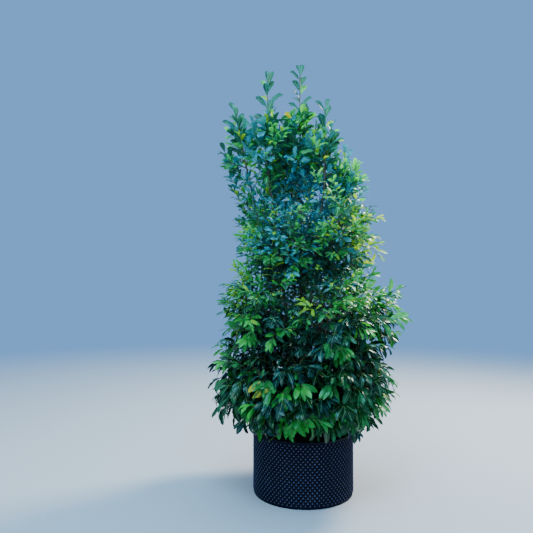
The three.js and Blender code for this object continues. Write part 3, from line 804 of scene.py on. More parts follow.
class LAUREL_OT_compost(bpy.types.Operator):
    """Make the compost, with its lumps and the dry bark chips on it"""

    bl_idname = "laurel.compost"
    bl_label = "Compost"

    RINGS = 46
    RING_CROWDING = 0.8  # under 1, the rings stand closer towards the wall
    COLUMNS = 144
    PALE_SOIL = (0.055, 0.034, 0.02)
    CHIP_SEED = 77
    CHIP_BORDER = 0.012
    CHIPS_FROM = 0.35  # how far out they start, as a share of the radius
    CHIP_LENGTHS = (0.006, 0.024)
    CHIP_SHORTNESS = 1.6  # over 1, more of them are short
    CHIP_WIDTHS = (0.3, 0.8)  # as a share of the length
    CHIP_THICKNESS = (0.0012, 0.0035)
    CHIP_LEAN = 0.7
    CHIP_ROLL = 0.5
    CHIP_LIFT = 0.3  # how far a leaning chip's middle is raised
    CHIP_SKEW = 0.35
    CHIP_CORNERS = ((-1, -1), (1, -1), (1, 1), (-1, 1))
    CHIP_FACES = ((3, 2, 1, 0), (4, 5, 6, 7), (0, 1, 5, 4), (1, 2, 6, 5), (2, 3, 7, 6), (3, 0, 4, 7))
    DARK_CHIP = (0.05, 0.028, 0.016)
    PALE_CHIP = (0.28, 0.19, 0.11)
    MOST_PALE = 0.6  # how much of the pale colour its streaks have

    def execute(self, context):
        settings = context.scene.laurel_compost
        pot = context.scene.laurel_pot
        top = CompostTop(settings, pot)
        low = UP * (pot.base + GAP)
        around = circle(self.COLUMNS)
        rings = [around * top.radius + low]
        for ring in range(self.RINGS, 0, -1):
            radius = top.radius * (ring / self.RINGS) ** self.RING_CROWDING
            rings.append([top.at(way * radius) for way in around])
        mesh = build_mesh("compost", *shell(rings, low, top.at(UP)))
        add_piece("compost_bed", mesh, self.soil(settings), "compost", ["compost"])
        add_piece("bark_chips", self.chips(settings, top), self.chip_bark(settings), "compost", ["compost"])
        return {"FINISHED"}

    def chips(self, settings, top):
        """Flat angular chips that lie on the compost at all angles."""
        random = random_from(self.CHIP_SEED)
        corners, quads = [], []
        for _ in range(settings.chips):
            out = (top.radius - self.CHIP_BORDER) * lerp(self.CHIPS_FROM, 1.0, random() ** 0.5)
            angle = 2 * math.pi * random()
            long = lerp(*self.CHIP_LENGTHS, random() ** self.CHIP_SHORTNESS)
            wide = long * lerp(*self.CHIP_WIDTHS, random())
            thick = lerp(*self.CHIP_THICKNESS, random())
            turn = 2 * math.pi * random()
            lean = self.CHIP_LEAN * (random() - 0.5)
            ahead = unit(np.array([math.cos(turn), math.sin(turn), lean]))
            aside = unit(np.cross(UP + [self.CHIP_ROLL * (random() - 0.5), 0, 0], ahead))
            above = np.cross(ahead, aside)
            middle = top.at((out * math.cos(angle), out * math.sin(angle), 0))
            middle += UP * (thick + self.CHIP_LIFT * abs(lean) * long)
            quads += [[len(corners) + corner for corner in face] for face in self.CHIP_FACES]
            for level in (-0.5, 0.5):
                for a, b in self.CHIP_CORNERS:
                    skew = self.CHIP_SKEW * (random() - 0.5)
                    corners.append(middle + ahead * a * long * (0.5 + skew) + aside * b * wide * 0.5
                                   + above * level * thick)
        return build_mesh("bark_chips", np.array(corners), quads, smooth=False)

    def soil(self, settings):
        finish = Finish("compost", {"Specular IOR Level": 0.2})
        lumps = finish.noise(0.018, detail=6.0, roughness=0.7)
        fine = finish.noise(0.0025)
        finish.give("Base Color", finish.blend(lumps.ramp(0.35, 0.8), settings.soil, self.PALE_SOIL))
        finish.roughen(0.86, (0.12, fine))
        finish.bump(lumps + 0.5 * fine, distance=0.003, strength=0.8)
        return finish.material

    def chip_bark(self, settings):
        finish = Finish("chip_bark", {"Specular IOR Level": 0.3})
        streaks = finish.noise(0.004, stretch=(1, 3, 1), detail=4.0)
        patches = finish.noise(0.03)
        chip = finish.blend(patches.ramp(0.35, 0.65), self.DARK_CHIP, settings.chip)
        pale = streaks.ramp(0.4, 0.7) * self.MOST_PALE
        finish.give("Base Color", finish.blend(pale, chip, self.PALE_CHIP))
        finish.roughen(0.75, (0.2, streaks))
        finish.bump(streaks, distance=0.0008, strength=0.7)
        return finish.material


class LAUREL_OT_bark(bpy.types.Operator):
    """Make the stool, the stems and the side boughs with the relief of their bark"""

    bl_idname = "laurel.bark"
    bl_label = "Stool, stems and boughs"

    STOOL_COLUMNS = 90
    STOOL_ROWS = 30
    # Its radius at shares of its height
    STOOL_PROFILE = ((0.0, 0.092), (0.2, 0.072), (0.5, 0.058), (0.85, 0.070), (1.0, 0.062))
    STOOL_RELIEF = 2.5  # how much rougher than a stem it is
    STOOL_TOP_RINGS = (0.7, 0.35)
    STOOL_TOP_DOWN = (0.003, 0.004)  # how far its top is hollow, at its rings and in its middle
    STOOL_TOP_LUMPS = 0.004
    STOOL_TOP_SCALE = 2  # how close together those lumps are
    ROOT_LOBES = 5
    ROOT_LOBE_SHARE = 0.16
    SIDES = 14
    EVERY = 0.014  # between the rings of a limb
    FEWEST_RINGS = 6
    COLLAR = 0.05  # how far up its root's swelling reaches
    COLLAR_SWELL = 0.35
    # Ridges, lumps and pores: how many to a metre, their share of the relief, and what is cut off below
    BARK_FORMS = (((160, 160, 14), 0.7, None), ((30, 30, 20), 1.1, None), ((90, 90, 380), 1.2, 0.25))
    PALE_PORE = (0.26, 0.21, 0.15)
    MOST_PORE = 0.7

    def relief(self, point, settings):
        """The height of the bark at a point: ridges along the limb, and rings of small pores across it."""
        total = 0.0
        for scale, share, cut in self.BARK_FORMS:
            height = noise.noise(Vector(point * scale))
            total += share * (height if cut is None else max(0.0, height - cut))
        return settings.relief * total

    def stool(self, settings):
        foot = COMPOST_BOX[1][2] + GAP
        height = STOOL_BOX[1][2] - foot
        shares, radii = zip(*self.STOOL_PROFILE)
        around = circle(self.STOOL_COLUMNS)
        lobes = np.cos(self.ROOT_LOBES * np.linspace(0, 2 * math.pi, self.STOOL_COLUMNS, endpoint=False))
        rings = []
        for share in np.linspace(0, 1, self.STOOL_ROWS + 1):
            smooth = np.interp(share, shares, radii)
            out = smooth * (1 + self.ROOT_LOBE_SHARE * max(0, 1 - 2 * share) * lobes[:, None])
            ring = around * out + UP * (foot + share * height)
            relief = np.array([self.relief(point, settings) for point in ring])
            ring[:, :2] *= 1 + self.STOOL_RELIEF * relief[:, None] / smooth
            rings.append(ring)
        level, middle = (foot + height - down for down in self.STOOL_TOP_DOWN)
        for share in self.STOOL_TOP_RINGS:
            places = [Vector((*way[:2] * self.STOOL_TOP_SCALE, share)) for way in around]
            lumps = [noise.noise(place) for place in places]
            heights = level + self.STOOL_TOP_LUMPS * np.array(lumps)
            rings.append(around * radii[-1] * share + UP * heights[:, None])
        return build_mesh("stool", *shell(rings, UP * foot, UP * middle))

    def limb(self, curve, root_radius, tip_radius, settings):
        """The corners and faces of one limb, swollen at its root, with the bark's relief."""
        shares = np.linspace(0, 1, max(self.FEWEST_RINGS, int(curve.length / self.EVERY)))
        swell = 1 + self.COLLAR_SWELL * np.exp(-shares * curve.length / self.COLLAR)
        path = curve.at(shares)
        radii = lerp(root_radius, tip_radius, shares) * swell
        (skin,), (out,) = rings_round(path[None], radii[None], self.SIDES)
        relief = np.array([[self.relief(point, settings) for point in ring] for ring in skin])
        return shell(skin + out * relief[..., None], end=path[-1])

    def bark(self, settings):
        """Smooth grey-brown bark with shallow furrows and rows of pale pores."""
        finish = Finish("bark", {"Specular IOR Level": 0.4})
        streaks = finish.noise(0.006, stretch=(1, 1, 9), detail=4.0)
        patches = finish.noise(0.06)
        pores = finish.noise(0.004, stretch=(2.5, 2.5, 0.6), detail=1.0).ramp(0.66, 0.74)
        ridges = (0.55 * streaks + 0.45 * patches).ramp(0.35, 0.68)
        colour = finish.blend(ridges, settings.dark, settings.light)
        finish.give("Base Color", finish.blend(pores * self.MOST_PORE, colour, self.PALE_PORE))
        finish.roughen(0.66, (0.28, patches))
        finish.bump(streaks + 0.5 * pores, distance=0.0012, strength=0.7)
        return finish.material

    def execute(self, context):
        settings = context.scene.laurel_bark
        masses = lay_out_masses()
        stems = lay_out_stems(masses)
        boughs = lay_out_boughs(masses, stems)
        bark = self.bark(settings)
        add_piece("stool_bark", self.stool(settings), bark, "bark", ["stool"])
        for kind, limbs, root, tip in (("stem", stems, settings.stem_root, settings.stem_tip),
                                       ("bough", boughs, settings.bough_root, settings.bough_tip)):
            mesh = joined_mesh(f"{kind}s", [self.limb(limb.curve, root, tip, settings) for limb in limbs])
            add_piece(f"{kind}_bark", mesh, bark, "bark", [limb.name for limb in limbs])
        return {"FINISHED"}


# A twig or shoot of the crown: its curve, its radii at the root and the tip, and its mass
Shoot = namedtuple("Shoot", "curve radii mass")
# A leaf: where it starts, which way it points and faces, its size and form, and where it belongs
Leaf = namedtuple("Leaf", "root ahead face length curl roundness phase kind mass")

# Sprays whose colour has a place: the centre (right, back, up), how far it reaches, and the kind.
PLACED_KINDS = (
    ((-0.174, -0.55, 1.157), 0.11, "fresh"),
    ((-0.123, -0.60, 0.893), 0.09, "fresh"),
    ((0.240, -0.50, 0.680), 0.09, "fresh"),
    ((-0.080, -0.50, 0.560), 0.150, "fresh"),
    ((0.740, 0.00, 1.500), 0.13, "fresh"),
    ((0.500, -0.15, 1.800), 0.17, "olive"),
    ((0.400, -0.22, 2.000), 0.16, "olive"),
    ((0.140, -0.38, 1.920), 0.07, "olive"),
    ((0.120, -0.42, 1.700), 0.08, "olive"),
    ((0.165, -0.12, 2.900), 0.12, "crest"),
    ((-0.270, -0.06, 3.100), 0.20, "crest"),
    ((-0.015, 0.02, 3.200), 0.12, "crest"),
    ((-0.520, 0.06, 2.900), 0.12, "crest"),
    ((0.440, 0.00, 2.450), 0.10, "light"),
    ((-0.550, -0.15, 1.650), 0.16, "olive"),
    ((-0.470, -0.10, 1.920), 0.12, "olive"),
)
# Shoots that stand out of the crown: where each ends, and its kind
LONG_SHOOTS = (
    ((0.765, -0.10, 1.540), "light"),
    ((0.690, -0.25, 1.330), "light"),
    ((0.575, -0.10, 1.760), "olive"),
    ((0.500, -0.18, 1.640), "fresh"),
)
KIND_PLAY = 0.45  # the height over which one mixture of kinds gives way to the next
# How often each kind comes on the outside of the crown, up to each height; the higher mixtures hold more
# painted sky reflection and backlight glow, so the crown is painted lighter and bluer towards the top
OUTER_KINDS = (
    (1.05, (("deep", 0.38), ("middle", 0.12), ("slate", 0.16), ("fresh", 0.05), ("grown", 0.29))),
    (1.55, (("deep", 0.12), ("middle", 0.34), ("slate", 0.14), ("fresh", 0.16), ("olive", 0.06),
            ("grown", 0.18))),
    (1.95, (("middle", 0.34), ("teal", 0.28), ("slate", 0.04), ("fresh", 0.08), ("light", 0.18),
            ("olive", 0.04), ("grown", 0.04))),
    (9.00, (("teal", 0.44), ("crest", 0.22), ("middle", 0.10), ("light", 0.22), ("fresh", 0.02))),
)
YELLOW_LEAVES = 0.006  # how often a leaf is about to drop
# How often a leaf is a painted glint, a small pale leaf that stands in for a fleck of sunlight, by height,
# and how often such a one is olive
PAINTED_GLINTS = ((1.10, 1.40, 2.10, 2.80), (0.0, 0.22, 0.20, 0.12))
OLIVE_GLINTS = 0.45
# How far out from the middle the leaves are in the shade of the others, by height
SHADE = ((0.50, 0.80, 1.30, 1.80, 2.30, 2.60), (0.34, 0.52, 0.52, 0.40, 0.24, 0.0))
# Which kind those leaves are, up to each height; their dark colours are painted shade, and the highest
# kind's blue is painted haze of sky light
INNER_HEIGHTS = ((1.08, "shade"), (1.80, "gloom"), (9.00, "dusk"))
INNER_PLAY = 0.60  # the height over which one of them gives way to the next


def pick(shares, draw):
    """The kind that a draw from 0 to 1 falls on."""
    total = sum(share for _, share in shares)
    for kind, share in shares:
        draw -= share / total
        if draw < 0:
            return kind
    return shares[-1][0]


def zone_height(point):
    """The height by which the leaves at a point are made, lower than its own low on the right."""
    across, _, height = point
    on_right = np.clip(across / FULLY_RIGHT, 0, 1) * np.interp(height, EVEN_AGAIN, (1, 0))
    return height - HIGHER_ON_RIGHT * on_right


class Crown:
    """The twigs, shoots and leaves of all masses, grown from the limbs."""

    BOX_SHARE = 0.02  # how far the leaves may pass the solids' box: this share of each side, and more
    BOX_MORE = 0.005
    FIT_SAMPLES = np.linspace(0, 1, 6)
    # The first seeds of the masses, of the stems' short shoots and of the long shoots
    MASS_SEEDS = 1000
    STEM_SEEDS = 2000
    LONG_SEEDS = 3000

    def __init__(self, settings):
        self.settings = settings
        self.masses = lay_out_masses()
        lay_out_boughs(self.masses, lay_out_stems(self.masses))
        self.twigs = []
        self.shoots = []
        self.leaves = []
        low, high = np.array(CAD_BOX)
        margin = self.BOX_SHARE * (high - low) + self.BOX_MORE
        self.low, self.high = low - margin, high + margin
        for number, mass in enumerate(self.masses):
            self.grow(mass, random_from(self.MASS_SEEDS + number))
        for number, mass in enumerate(mass for mass in self.masses if mass.crest):
            self.clothe(mass, random_from(self.STEM_SEEDS + number))
        for number, (tip, kind) in enumerate(LONG_SHOOTS):
            self.long_shoot(tip, kind, random_from(self.LONG_SEEDS + number))

    def clear(self, points):
        """Whether these points are inside the plant's box and outside the pot."""
        points = np.atleast_2d(points)
        if (points < self.low).any() or (points > self.high).any():
            return False
        angles = np.arctan2(points[:, 1], points[:, 0])
        waves = sum(height * np.sin(count * angles + start) for count, start, height in UNDERSIDE_WAVES)
        if (points[:, 2] < underside(points) - UNDERSIDE_SLACK + waves).any():
            return False
        over_pot = np.hypot(points[:, 0], points[:, 1]) < POT_BOX[1][0] + POT_CLEARANCE
        return not (over_pot & (points[:, 2] < POT_BOX[1][2] + POT_CLEARANCE)).any()

    def fitted(self, start, heading, direction, length, mass):
        """A twig's curve, shortened until it lies in its mass's space."""
        while length >= SHORTEST_TWIG:
            curve = Curve([start, start + heading * TWIG_BEND * length, start + direction * length])
            points = curve.at(self.FIT_SAMPLES)
            if mass.holds(points, SPACE_MARGIN) and self.clear(points):
                return curve
            length -= TWIG_STEP
        return None

    def lead(self, mass):
        """The lead goes on from its limb's tip, to the middle of a dense mass or up into the leader of a
        crest mass."""
        start = mass.limb.curve.at(1.0)
        way = mass.lead_tip - start
        return self.fitted(start, mass.limb.curve.along(1.0), unit(way), np.linalg.norm(way), mass)

    def starts(self, mass, lead, random):
        """Where the twigs leave the lead, which way they start out, and where they point."""
        outward = unit(mass.centre * [1, 1, 0])
        for i in range(mass.twigs):
            share = (i + 0.5) / mass.twigs
            turn = i * GOLDEN_ANGLE + TURN_PLAY * random()
            if mass.crest:
                place = lerp(*CREST_ROOTS, share)
                along = lead.along(place)
                yield lead.at(place), along, leave(along, turn, lerp(*CREST_ANGLES, share))
                continue
            height = 1 - 2 * share
            flat = math.sqrt(1 - height * height)
            direction = np.array([flat * math.cos(turn), flat * math.sin(turn), height])
            if direction @ outward > INNER_SIDE:
                yield lead.at(lerp(*DENSE_ROOTS, share)), direction, direction

    def grow(self, mass, random):
        lead = self.lead(mass)
        self.twigs.append(Shoot(lead, LEAD_RADII, mass))
        if mass.crest:
            kind = self.kind_at(lead.at(1.0), random)
            self.leafy(lead, LEADER_LEAVES_FROM, mass, random, kind, leader=True)
        for start, heading, direction in self.starts(mass, lead, random):
            short = lerp(*(CREST_TWIG_SHORT if mass.crest else TWIG_SHORT), random())
            twig = self.fitted(start, heading, direction, mass.to_outline(start, direction) - short, mass)
            if twig is None:
                continue
            self.twigs.append(Shoot(twig, TWIG_RADII, mass))
            self.leafy(twig, TWIG_LEAVES_FROM, mass, random, self.kind_at(twig.at(1.0), random))
            self.side_shoots(twig, mass, random)

    def clothe(self, mass, random):
        """Short leafy shoots on the upper part of a stem, below its mass."""
        stem = mass.limb.curve
        low, high = STEM_SHOOTS
        count = int(stem.length / STEM_SHOOT_EVERY)
        for i in range(count):
            share = (i + 0.5) / count
            start = stem.at(share)
            if low < start[2] < high:
                turn = i * GOLDEN_ANGLE + TURN_PLAY * random()
                direction = leave(stem.along(share), turn, STEM_SHOOT_ANGLE)
                self.add_shoot(start, direction, lerp(*STEM_SHOOT_LENGTH, random()), mass, random)

    def add_shoot(self, start, direction, length, mass, random):
        way = direction * length
        curve = Curve([start, start + way * 0.5, start + way + UP * length * mass.lift])
        if not self.clear(curve.at(np.array([0.5, 1.0]))):
            return
        kind = self.kind_at(curve.at(1.0), random)
        self.shoots.append(Shoot(curve, SHOOT_RADII, mass))
        self.leafy(curve, SHOOT_LEAVES_FROM, mass, random, kind)

    def side_shoots(self, twig, mass, random):
        """Shoots leave a twig along its outer part, turned by the golden angle, and rise at their ends."""
        count = int(twig.length * (1 - SHOOTS_ALONG[0]) / SHOOT_EVERY) + 1
        turn = 2 * math.pi * random()
        for i in range(count):
            share = lerp(*SHOOTS_ALONG, (i + 0.5) / count)
            start = twig.at(share)
            direction = leave(twig.along(share), turn + i * GOLDEN_ANGLE, lerp(*SHOOT_ANGLES, share))
            if not mass.crest:
                direction = unit(direction * [1, 1, FLATTEN])
            length = lerp(*SHOOT_LENGTH, random())
            length = min(length, mass.to_outline(start, direction) - SHOOT_SHORT * random())
            if length >= SHORTEST_SHOOT:
                self.add_shoot(start, direction, length, mass, random)

    def long_shoot(self, tip, kind, random):
        """A long shoot that stands out of the crown, grown on from the nearest twig."""
        twig = min(self.twigs, key=lambda twig: np.linalg.norm(twig.curve.at(1.0) - tip))
        root = twig.curve.at(1.0)
        bend = twig.curve.along(1.0) * np.linalg.norm(tip - root) * LONG_SHOOT_BEND
        curve = Curve([root, root + bend, tip])
        self.shoots.append(Shoot(curve, SHOOT_RADII, twig.mass))
        self.leafy(curve, LONG_SHOOT_LEAVES_FROM, twig.mass, random, kind, leader=True)

    def kind_at(self, tip, random):
        """The kind of a spray, by its place or else by chance."""
        draw = random()
        for centre, reach, kind in PLACED_KINDS:
            if np.linalg.norm(tip - centre) < reach:
                return kind
        place = zone_height(tip) + KIND_PLAY * (random() - 0.5)
        shares = next(shares for height, shares in OUTER_KINDS if place < height)
        return pick(shares, draw)

    def leafy(self, curve, first, mass, random, kind, leader=False):
        """Leaves along a shoot from a share of its length on, turned by the golden angle, closer and smaller
        at its tip."""
        settings = self.settings
        lengths = (settings.length, settings.middle_length, settings.middle_length, settings.top_length)
        every = np.interp(zone_height(curve.at(0.5)), LEAF_ZONES, LEAF_EVERY)
        if leader:
            every = LEADER_LEAF_EVERY
        count = max(FEWEST_LEAVES, int(curve.length * (1 - first) / every) + TIP_LEAVES)
        turn = 2 * math.pi * random()
        for i in range(count):
            near_tip = i / (count - 1)
            share = lerp(first, 1.0, near_tip ** LEAF_CROWDING)
            root = curve.at(share)
            along = curve.along(share)
            height = zone_height(root)
            length, roundness, droop, curl = (np.interp(height, LEAF_ZONES, values)
                                              for values in (lengths, ROUNDER, DROOP, CURL))
            angle = lerp(LEAF_ANGLE, TIP_LEAF_ANGLE, near_tip ** 2) + LEAF_ANGLE_PLAY * (2 * random() - 1)
            ahead = leave(along, turn + i * GOLDEN_ANGLE, max(LEAST_LEAF_ANGLE, angle))
            if leader:
                ahead = unit(ahead * [1, LEADER_SPREAD, 1])
            if not mass.crest:
                ahead = unit(ahead * [1, 1, LEVEL_SPREAD])
            ahead = unit(ahead - UP * droop * lerp(*DROOP_PLAY, random()))
            face = along + UP * LEAF_UPWARD - ahead * LEAF_BACK
            face = face + np.cross(ahead, face) * LEAF_ROLL * (random() - 0.5)
            if leader:
                face = unit(face) * LEADER_ROLL + LEADER_FACE
            length *= (1 - TIP_SHORTER * near_tip ** 3) * lerp(*LENGTH_PLAY, random())
            curl *= lerp(*CURL_PLAY, random())
            tip = root + ahead * length * (1 + settings.stalk)
            middle = lerp(root, tip, 0.5)
            own_kind = kind
            if leader:
                length *= LEADER_LEAF
            # Painted shade: leaves near the middle take the dark inner colours.
            if math.hypot(*middle[:2]) < np.interp(middle[2], *SHADE):
                place = middle[2] + INNER_PLAY * (random() - 0.5)
                own_kind = next(inner for height, inner in INNER_HEIGHTS if place < height)
                length *= SHADE_LEAF
            elif kind in YELLOWING_KINDS and random() < YELLOW_LEAVES:
                own_kind = "yellow"
            # Painted glints: some leaves become small pale ones that stand in for flecks of sunlight.
            elif random() < np.interp(height, *PAINTED_GLINTS):
                own_kind = "olive" if random() < OLIVE_GLINTS else "light"
                length *= SHADE_LEAF
            if self.clear(np.array([middle, tip])):
                leaf = Leaf(root, ahead, face, length, curl, roundness, random(), own_kind, mass.name)
                self.leaves.append(leaf)


class LAUREL_OT_crown(bpy.types.Operator):
    """Grow the twigs, shoots and leaves from the limbs, mass by mass"""

    bl_idname = "laurel.crown"
    bl_label = "Twigs and leaves"

    STATIONS = (0.0, 0.14, 0.38, 0.64, 0.86, 1.0)  # along a blade, from its base to its tip
    COLUMNS = (-1.0, -0.5, 0.0, 0.5, 1.0)  # across it, from margin to margin
    # The same of a blade inside the crown
    INNER_STATIONS = (0.0, 0.2, 0.52, 0.82, 1.0)
    INNER_COLUMNS = (-1.0, 0.0, 1.0)
    MOST_TRIANGLES = 190_000  # in one piece
    # How soon the outline widens and how bluntly it ends, on the low leaves and on the rounder ones high up
    WIDENING = (0.8, 1.1)
    BLUNTNESS = (0.72, 0.5)
    WAVES = 2.2  # along a margin
    CUP = 0.22  # how far the margins turn down again
    RIB_WIDTH = 0.0042
    RIB_RISE = 0.0005
    RIB_TAPER = 0.8
    STALK_RADIUS = 0.0013
    STALK_SIDES = 3
    # Points and sides of the tubes of twigs and of shoots
    TWIG_TUBE = (8, 6)
    SHOOT_TUBE = (4, 4)
    BUD = ((0.005, 1.5), (0.013, 0.15))  # how far past a shoot's tip, and how thick as a share of it
    MOTTLE = (0.6, 1.35)  # the darkest and the lightest of a leaf's mottling, as shares of its colour
    MOTTLE_SIZE = 0.05
    MOTTLE_ROUGHNESS = 0.1  # how much rougher the lightest is than the darkest
    GLOSS = {"Specular IOR Level": 0.45, "Specular Tint": (0.62, 1.0, 0.78, 1.0)}
    # The colour of light that comes through a leaf: its own colour times this, plus this
    THROUGH_SHARE = (2.6, 2.0, 1.2)
    THROUGH_MORE = (0.01, 0.05, 0.0)

    def blades(self, leaves, settings, stations):
        """Arrays that place the blades: base, centre line, across, up at each station, half widths and
        phase."""
        roots, ahead, faces, length, curl, roundness, phase = (
            np.array(column) for column in list(zip(*leaves))[:7])
        across = np.cross(ahead, faces)
        across /= np.linalg.norm(across, axis=1)[:, None]
        up = np.cross(across, ahead)
        t = np.array(stations)
        turned = curl[:, None] * t
        forward = np.sin(turned) / curl[:, None]
        down = (1 - np.cos(turned)) / curl[:, None]
        base = roots + ahead * (length * settings.stalk)[:, None]
        line = base[:, None] + length[:, None, None] * (ahead[:, None] * forward[..., None]
                                                        - up[:, None] * down[..., None])
        lift = up[:, None] * np.cos(turned)[..., None] + ahead[:, None] * np.sin(turned)[..., None]
        widening = lerp(*self.WIDENING, roundness)[:, None]
        bluntness = lerp(*self.BLUNTNESS, roundness)[:, None]
        widest = widening / (widening + bluntness)
        outline = t ** widening * (1 - t) ** bluntness / (widest ** widening * (1 - widest) ** bluntness)
        half = outline * (length * lerp(settings.width, settings.top_width, roundness) / 2)[:, None]
        return base, line, across, lift, half, 2 * math.pi * phase

    def blade_mesh(self, name, leaves, settings, stations, columns):
        _, line, across, lift, half, phase = self.blades(leaves, settings, stations)
        count = len(leaves)
        t = np.array(stations)[1:-1]
        s = np.array(columns)
        inner = half[:, 1:-1]
        wave = settings.wave * np.sin(2 * math.pi * self.WAVES * t + phase[:, None])
        rise = np.abs(s) * settings.fold - self.CUP * s ** 4
        rise = rise + wave[..., None] * np.sign(s) * s ** 2
        rows = (line[:, 1:-1, None] + across[:, None, None] * (inner[..., None] * s)[..., None]
                + lift[:, 1:-1, None] * (inner[..., None] * rise)[..., None])
        corners = np.concatenate([rows.reshape(count, -1, 3), line[:, :1], line[:, -1:]], axis=1)
        per_leaf = corners.shape[1]
        last = per_leaf - 2 - len(s)
        ends = [[per_leaf - 2, c + 1, c] for c in range(len(s) - 1)]
        ends += [[last + c, last + c + 1, per_leaf - 1] for c in range(len(s) - 1)]
        return build_mesh(name, corners.reshape(-1, 3), copied(grid_faces(len(t), len(s)), count, per_leaf),
                          copied(ends, count, per_leaf))

    def rib_mesh(self, name, leaves, settings):
        """A raised strip along each blade's middle, narrowing to its tip."""
        _, line, across, lift, _, _ = self.blades(leaves, settings, self.STATIONS)
        line = line[:, :-1] + lift[:, :-1] * self.RIB_RISE
        t = np.array(self.STATIONS)[:-1]
        aside = across[:, None] * (self.RIB_WIDTH / 2 * (1 - self.RIB_TAPER * t))[:, None]
        corners = np.stack([line - aside, line + aside], axis=2).reshape(-1, 3)
        return build_mesh(name, corners, copied(grid_faces(len(t), 2), len(leaves), 2 * len(t)))

    def split(self, leaves, triangles):
        """Leaves in the order of their masses, in groups that stay under the limit of a piece."""
        most = self.MOST_TRIANGLES // triangles
        pieces = math.ceil(len(leaves) / most)
        size = math.ceil(len(leaves) / pieces)
        return [leaves[i:i + size] for i in range(0, len(leaves), size)]

    def leaf_finish(self, name, kind, settings):
        """Glossy leaf with a little mottling, through which some light comes."""
        finish = Finish(f"leaf_{name}", self.GLOSS)
        mottle = finish.noise(self.MOTTLE_SIZE)
        colour = np.array(getattr(settings, name))
        dark, light = (colour * share for share in self.MOTTLE)
        finish.give("Base Color", finish.blend(mottle.ramp(0.35, 0.65), dark, light))
        finish.roughen(kind.roughness - self.MOTTLE_ROUGHNESS / 2, (self.MOTTLE_ROUGHNESS, mottle))
        finish.let_through(kind.through, np.minimum(1.0, colour * self.THROUGH_SHARE + self.THROUGH_MORE))
        return finish.material

    def shoot_finish(self, name, colour, darker):
        """A plain green or brown skin, streaked by a darker share of its colour."""
        finish = Finish(name, {"Specular IOR Level": 0.4})
        streaks = finish.noise(0.004, stretch=(1, 1, 4))
        dark = [c * darker for c in colour]
        finish.give("Base Color", finish.blend(streaks.ramp(0.3, 0.7), dark, colour))
        finish.roughen(0.45, (0.2, streaks))
        finish.bump(streaks, distance=0.0005, strength=0.5)
        return finish.material

    def shoot_tubes(self, shoots, points, sides, bud=()):
        """The tubes of shoots, with a small bud at their ends."""
        shares = np.linspace(0, 1, points)
        paths = np.array([shoot.curve.at(shares) for shoot in shoots])
        radii = np.array([lerp(*shoot.radii, shares) for shoot in shoots])
        tips = radii[:, -1:]
        for beyond, thick in bud:
            ends = np.array([shoot.curve.at(1.0) + shoot.curve.along(1.0) * beyond for shoot in shoots])
            paths = np.concatenate([paths, ends[:, None]], axis=1)
            radii = np.concatenate([radii, tips * thick], axis=1)
        return tubes(paths, radii, sides)

    def stalks(self, leaves, settings):
        base = self.blades(leaves, settings, self.INNER_STATIONS)[0]
        paths = np.stack([[leaf.root for leaf in leaves], base], axis=1)
        return tubes(paths, np.full((len(leaves), 2), self.STALK_RADIUS), self.STALK_SIDES)

    def execute(self, context):
        settings = context.scene.laurel_leaves
        crown = Crown(settings)
        if not crown.leaves:
            raise RuntimeError("no leaf has grown")
        for name, kind in LEAF_KINDS.items():
            form = (self.STATIONS, self.COLUMNS)
            if name in INNER_KINDS:
                form = (self.INNER_STATIONS, self.INNER_COLUMNS)
            triangles = 2 * (len(form[0]) - 2) * (len(form[1]) - 1)
            leaves = [leaf for leaf in crown.leaves if leaf.kind == name]
            if not leaves:
                continue
            finish = self.leaf_finish(name, kind, settings)
            slot = "leaf_light" if name in LIGHT_KINDS else "leaf_dark"
            for number, group in enumerate(self.split(leaves, triangles), 1):
                piece = f"leaves_{name}_{number}"
                nodes = sorted({f"leaves_{leaf.mass}" for leaf in group})
                add_piece(piece, self.blade_mesh(piece, group, settings, *form), finish, slot, nodes)
        outer = [leaf for leaf in crown.leaves if leaf.kind not in INNER_KINDS]
        ribs = self.rib_mesh("leaf_ribs", outer, settings)
        twigs = joined_mesh("twigs", [self.shoot_tubes(crown.twigs, *self.TWIG_TUBE)])
        shoots = joined_mesh("shoots", [self.shoot_tubes(crown.shoots, *self.SHOOT_TUBE, self.BUD),
                                        self.stalks(crown.leaves, settings)])
        everything = [f"leaves_{mass.name}" for mass in crown.masses]
        for piece, mesh, name, colour, darker, slot in (
                ("leaf_ribs", ribs, "leaf_rib", settings.rib, 0.75, "leaf_light"),
                ("brown_twigs", twigs, "twig_bark", settings.twig, 0.55, "bark"),
                ("green_shoots", shoots, "green_shoot", settings.shoot, 0.6, "leaf_light")):
            add_piece(piece, mesh, self.shoot_finish(name, colour, darker), slot, everything)
        print(f"{len(crown.leaves)} leaves, {len(crown.shoots)} shoots, {len(crown.twigs)} twigs")
        return {"FINISHED"}


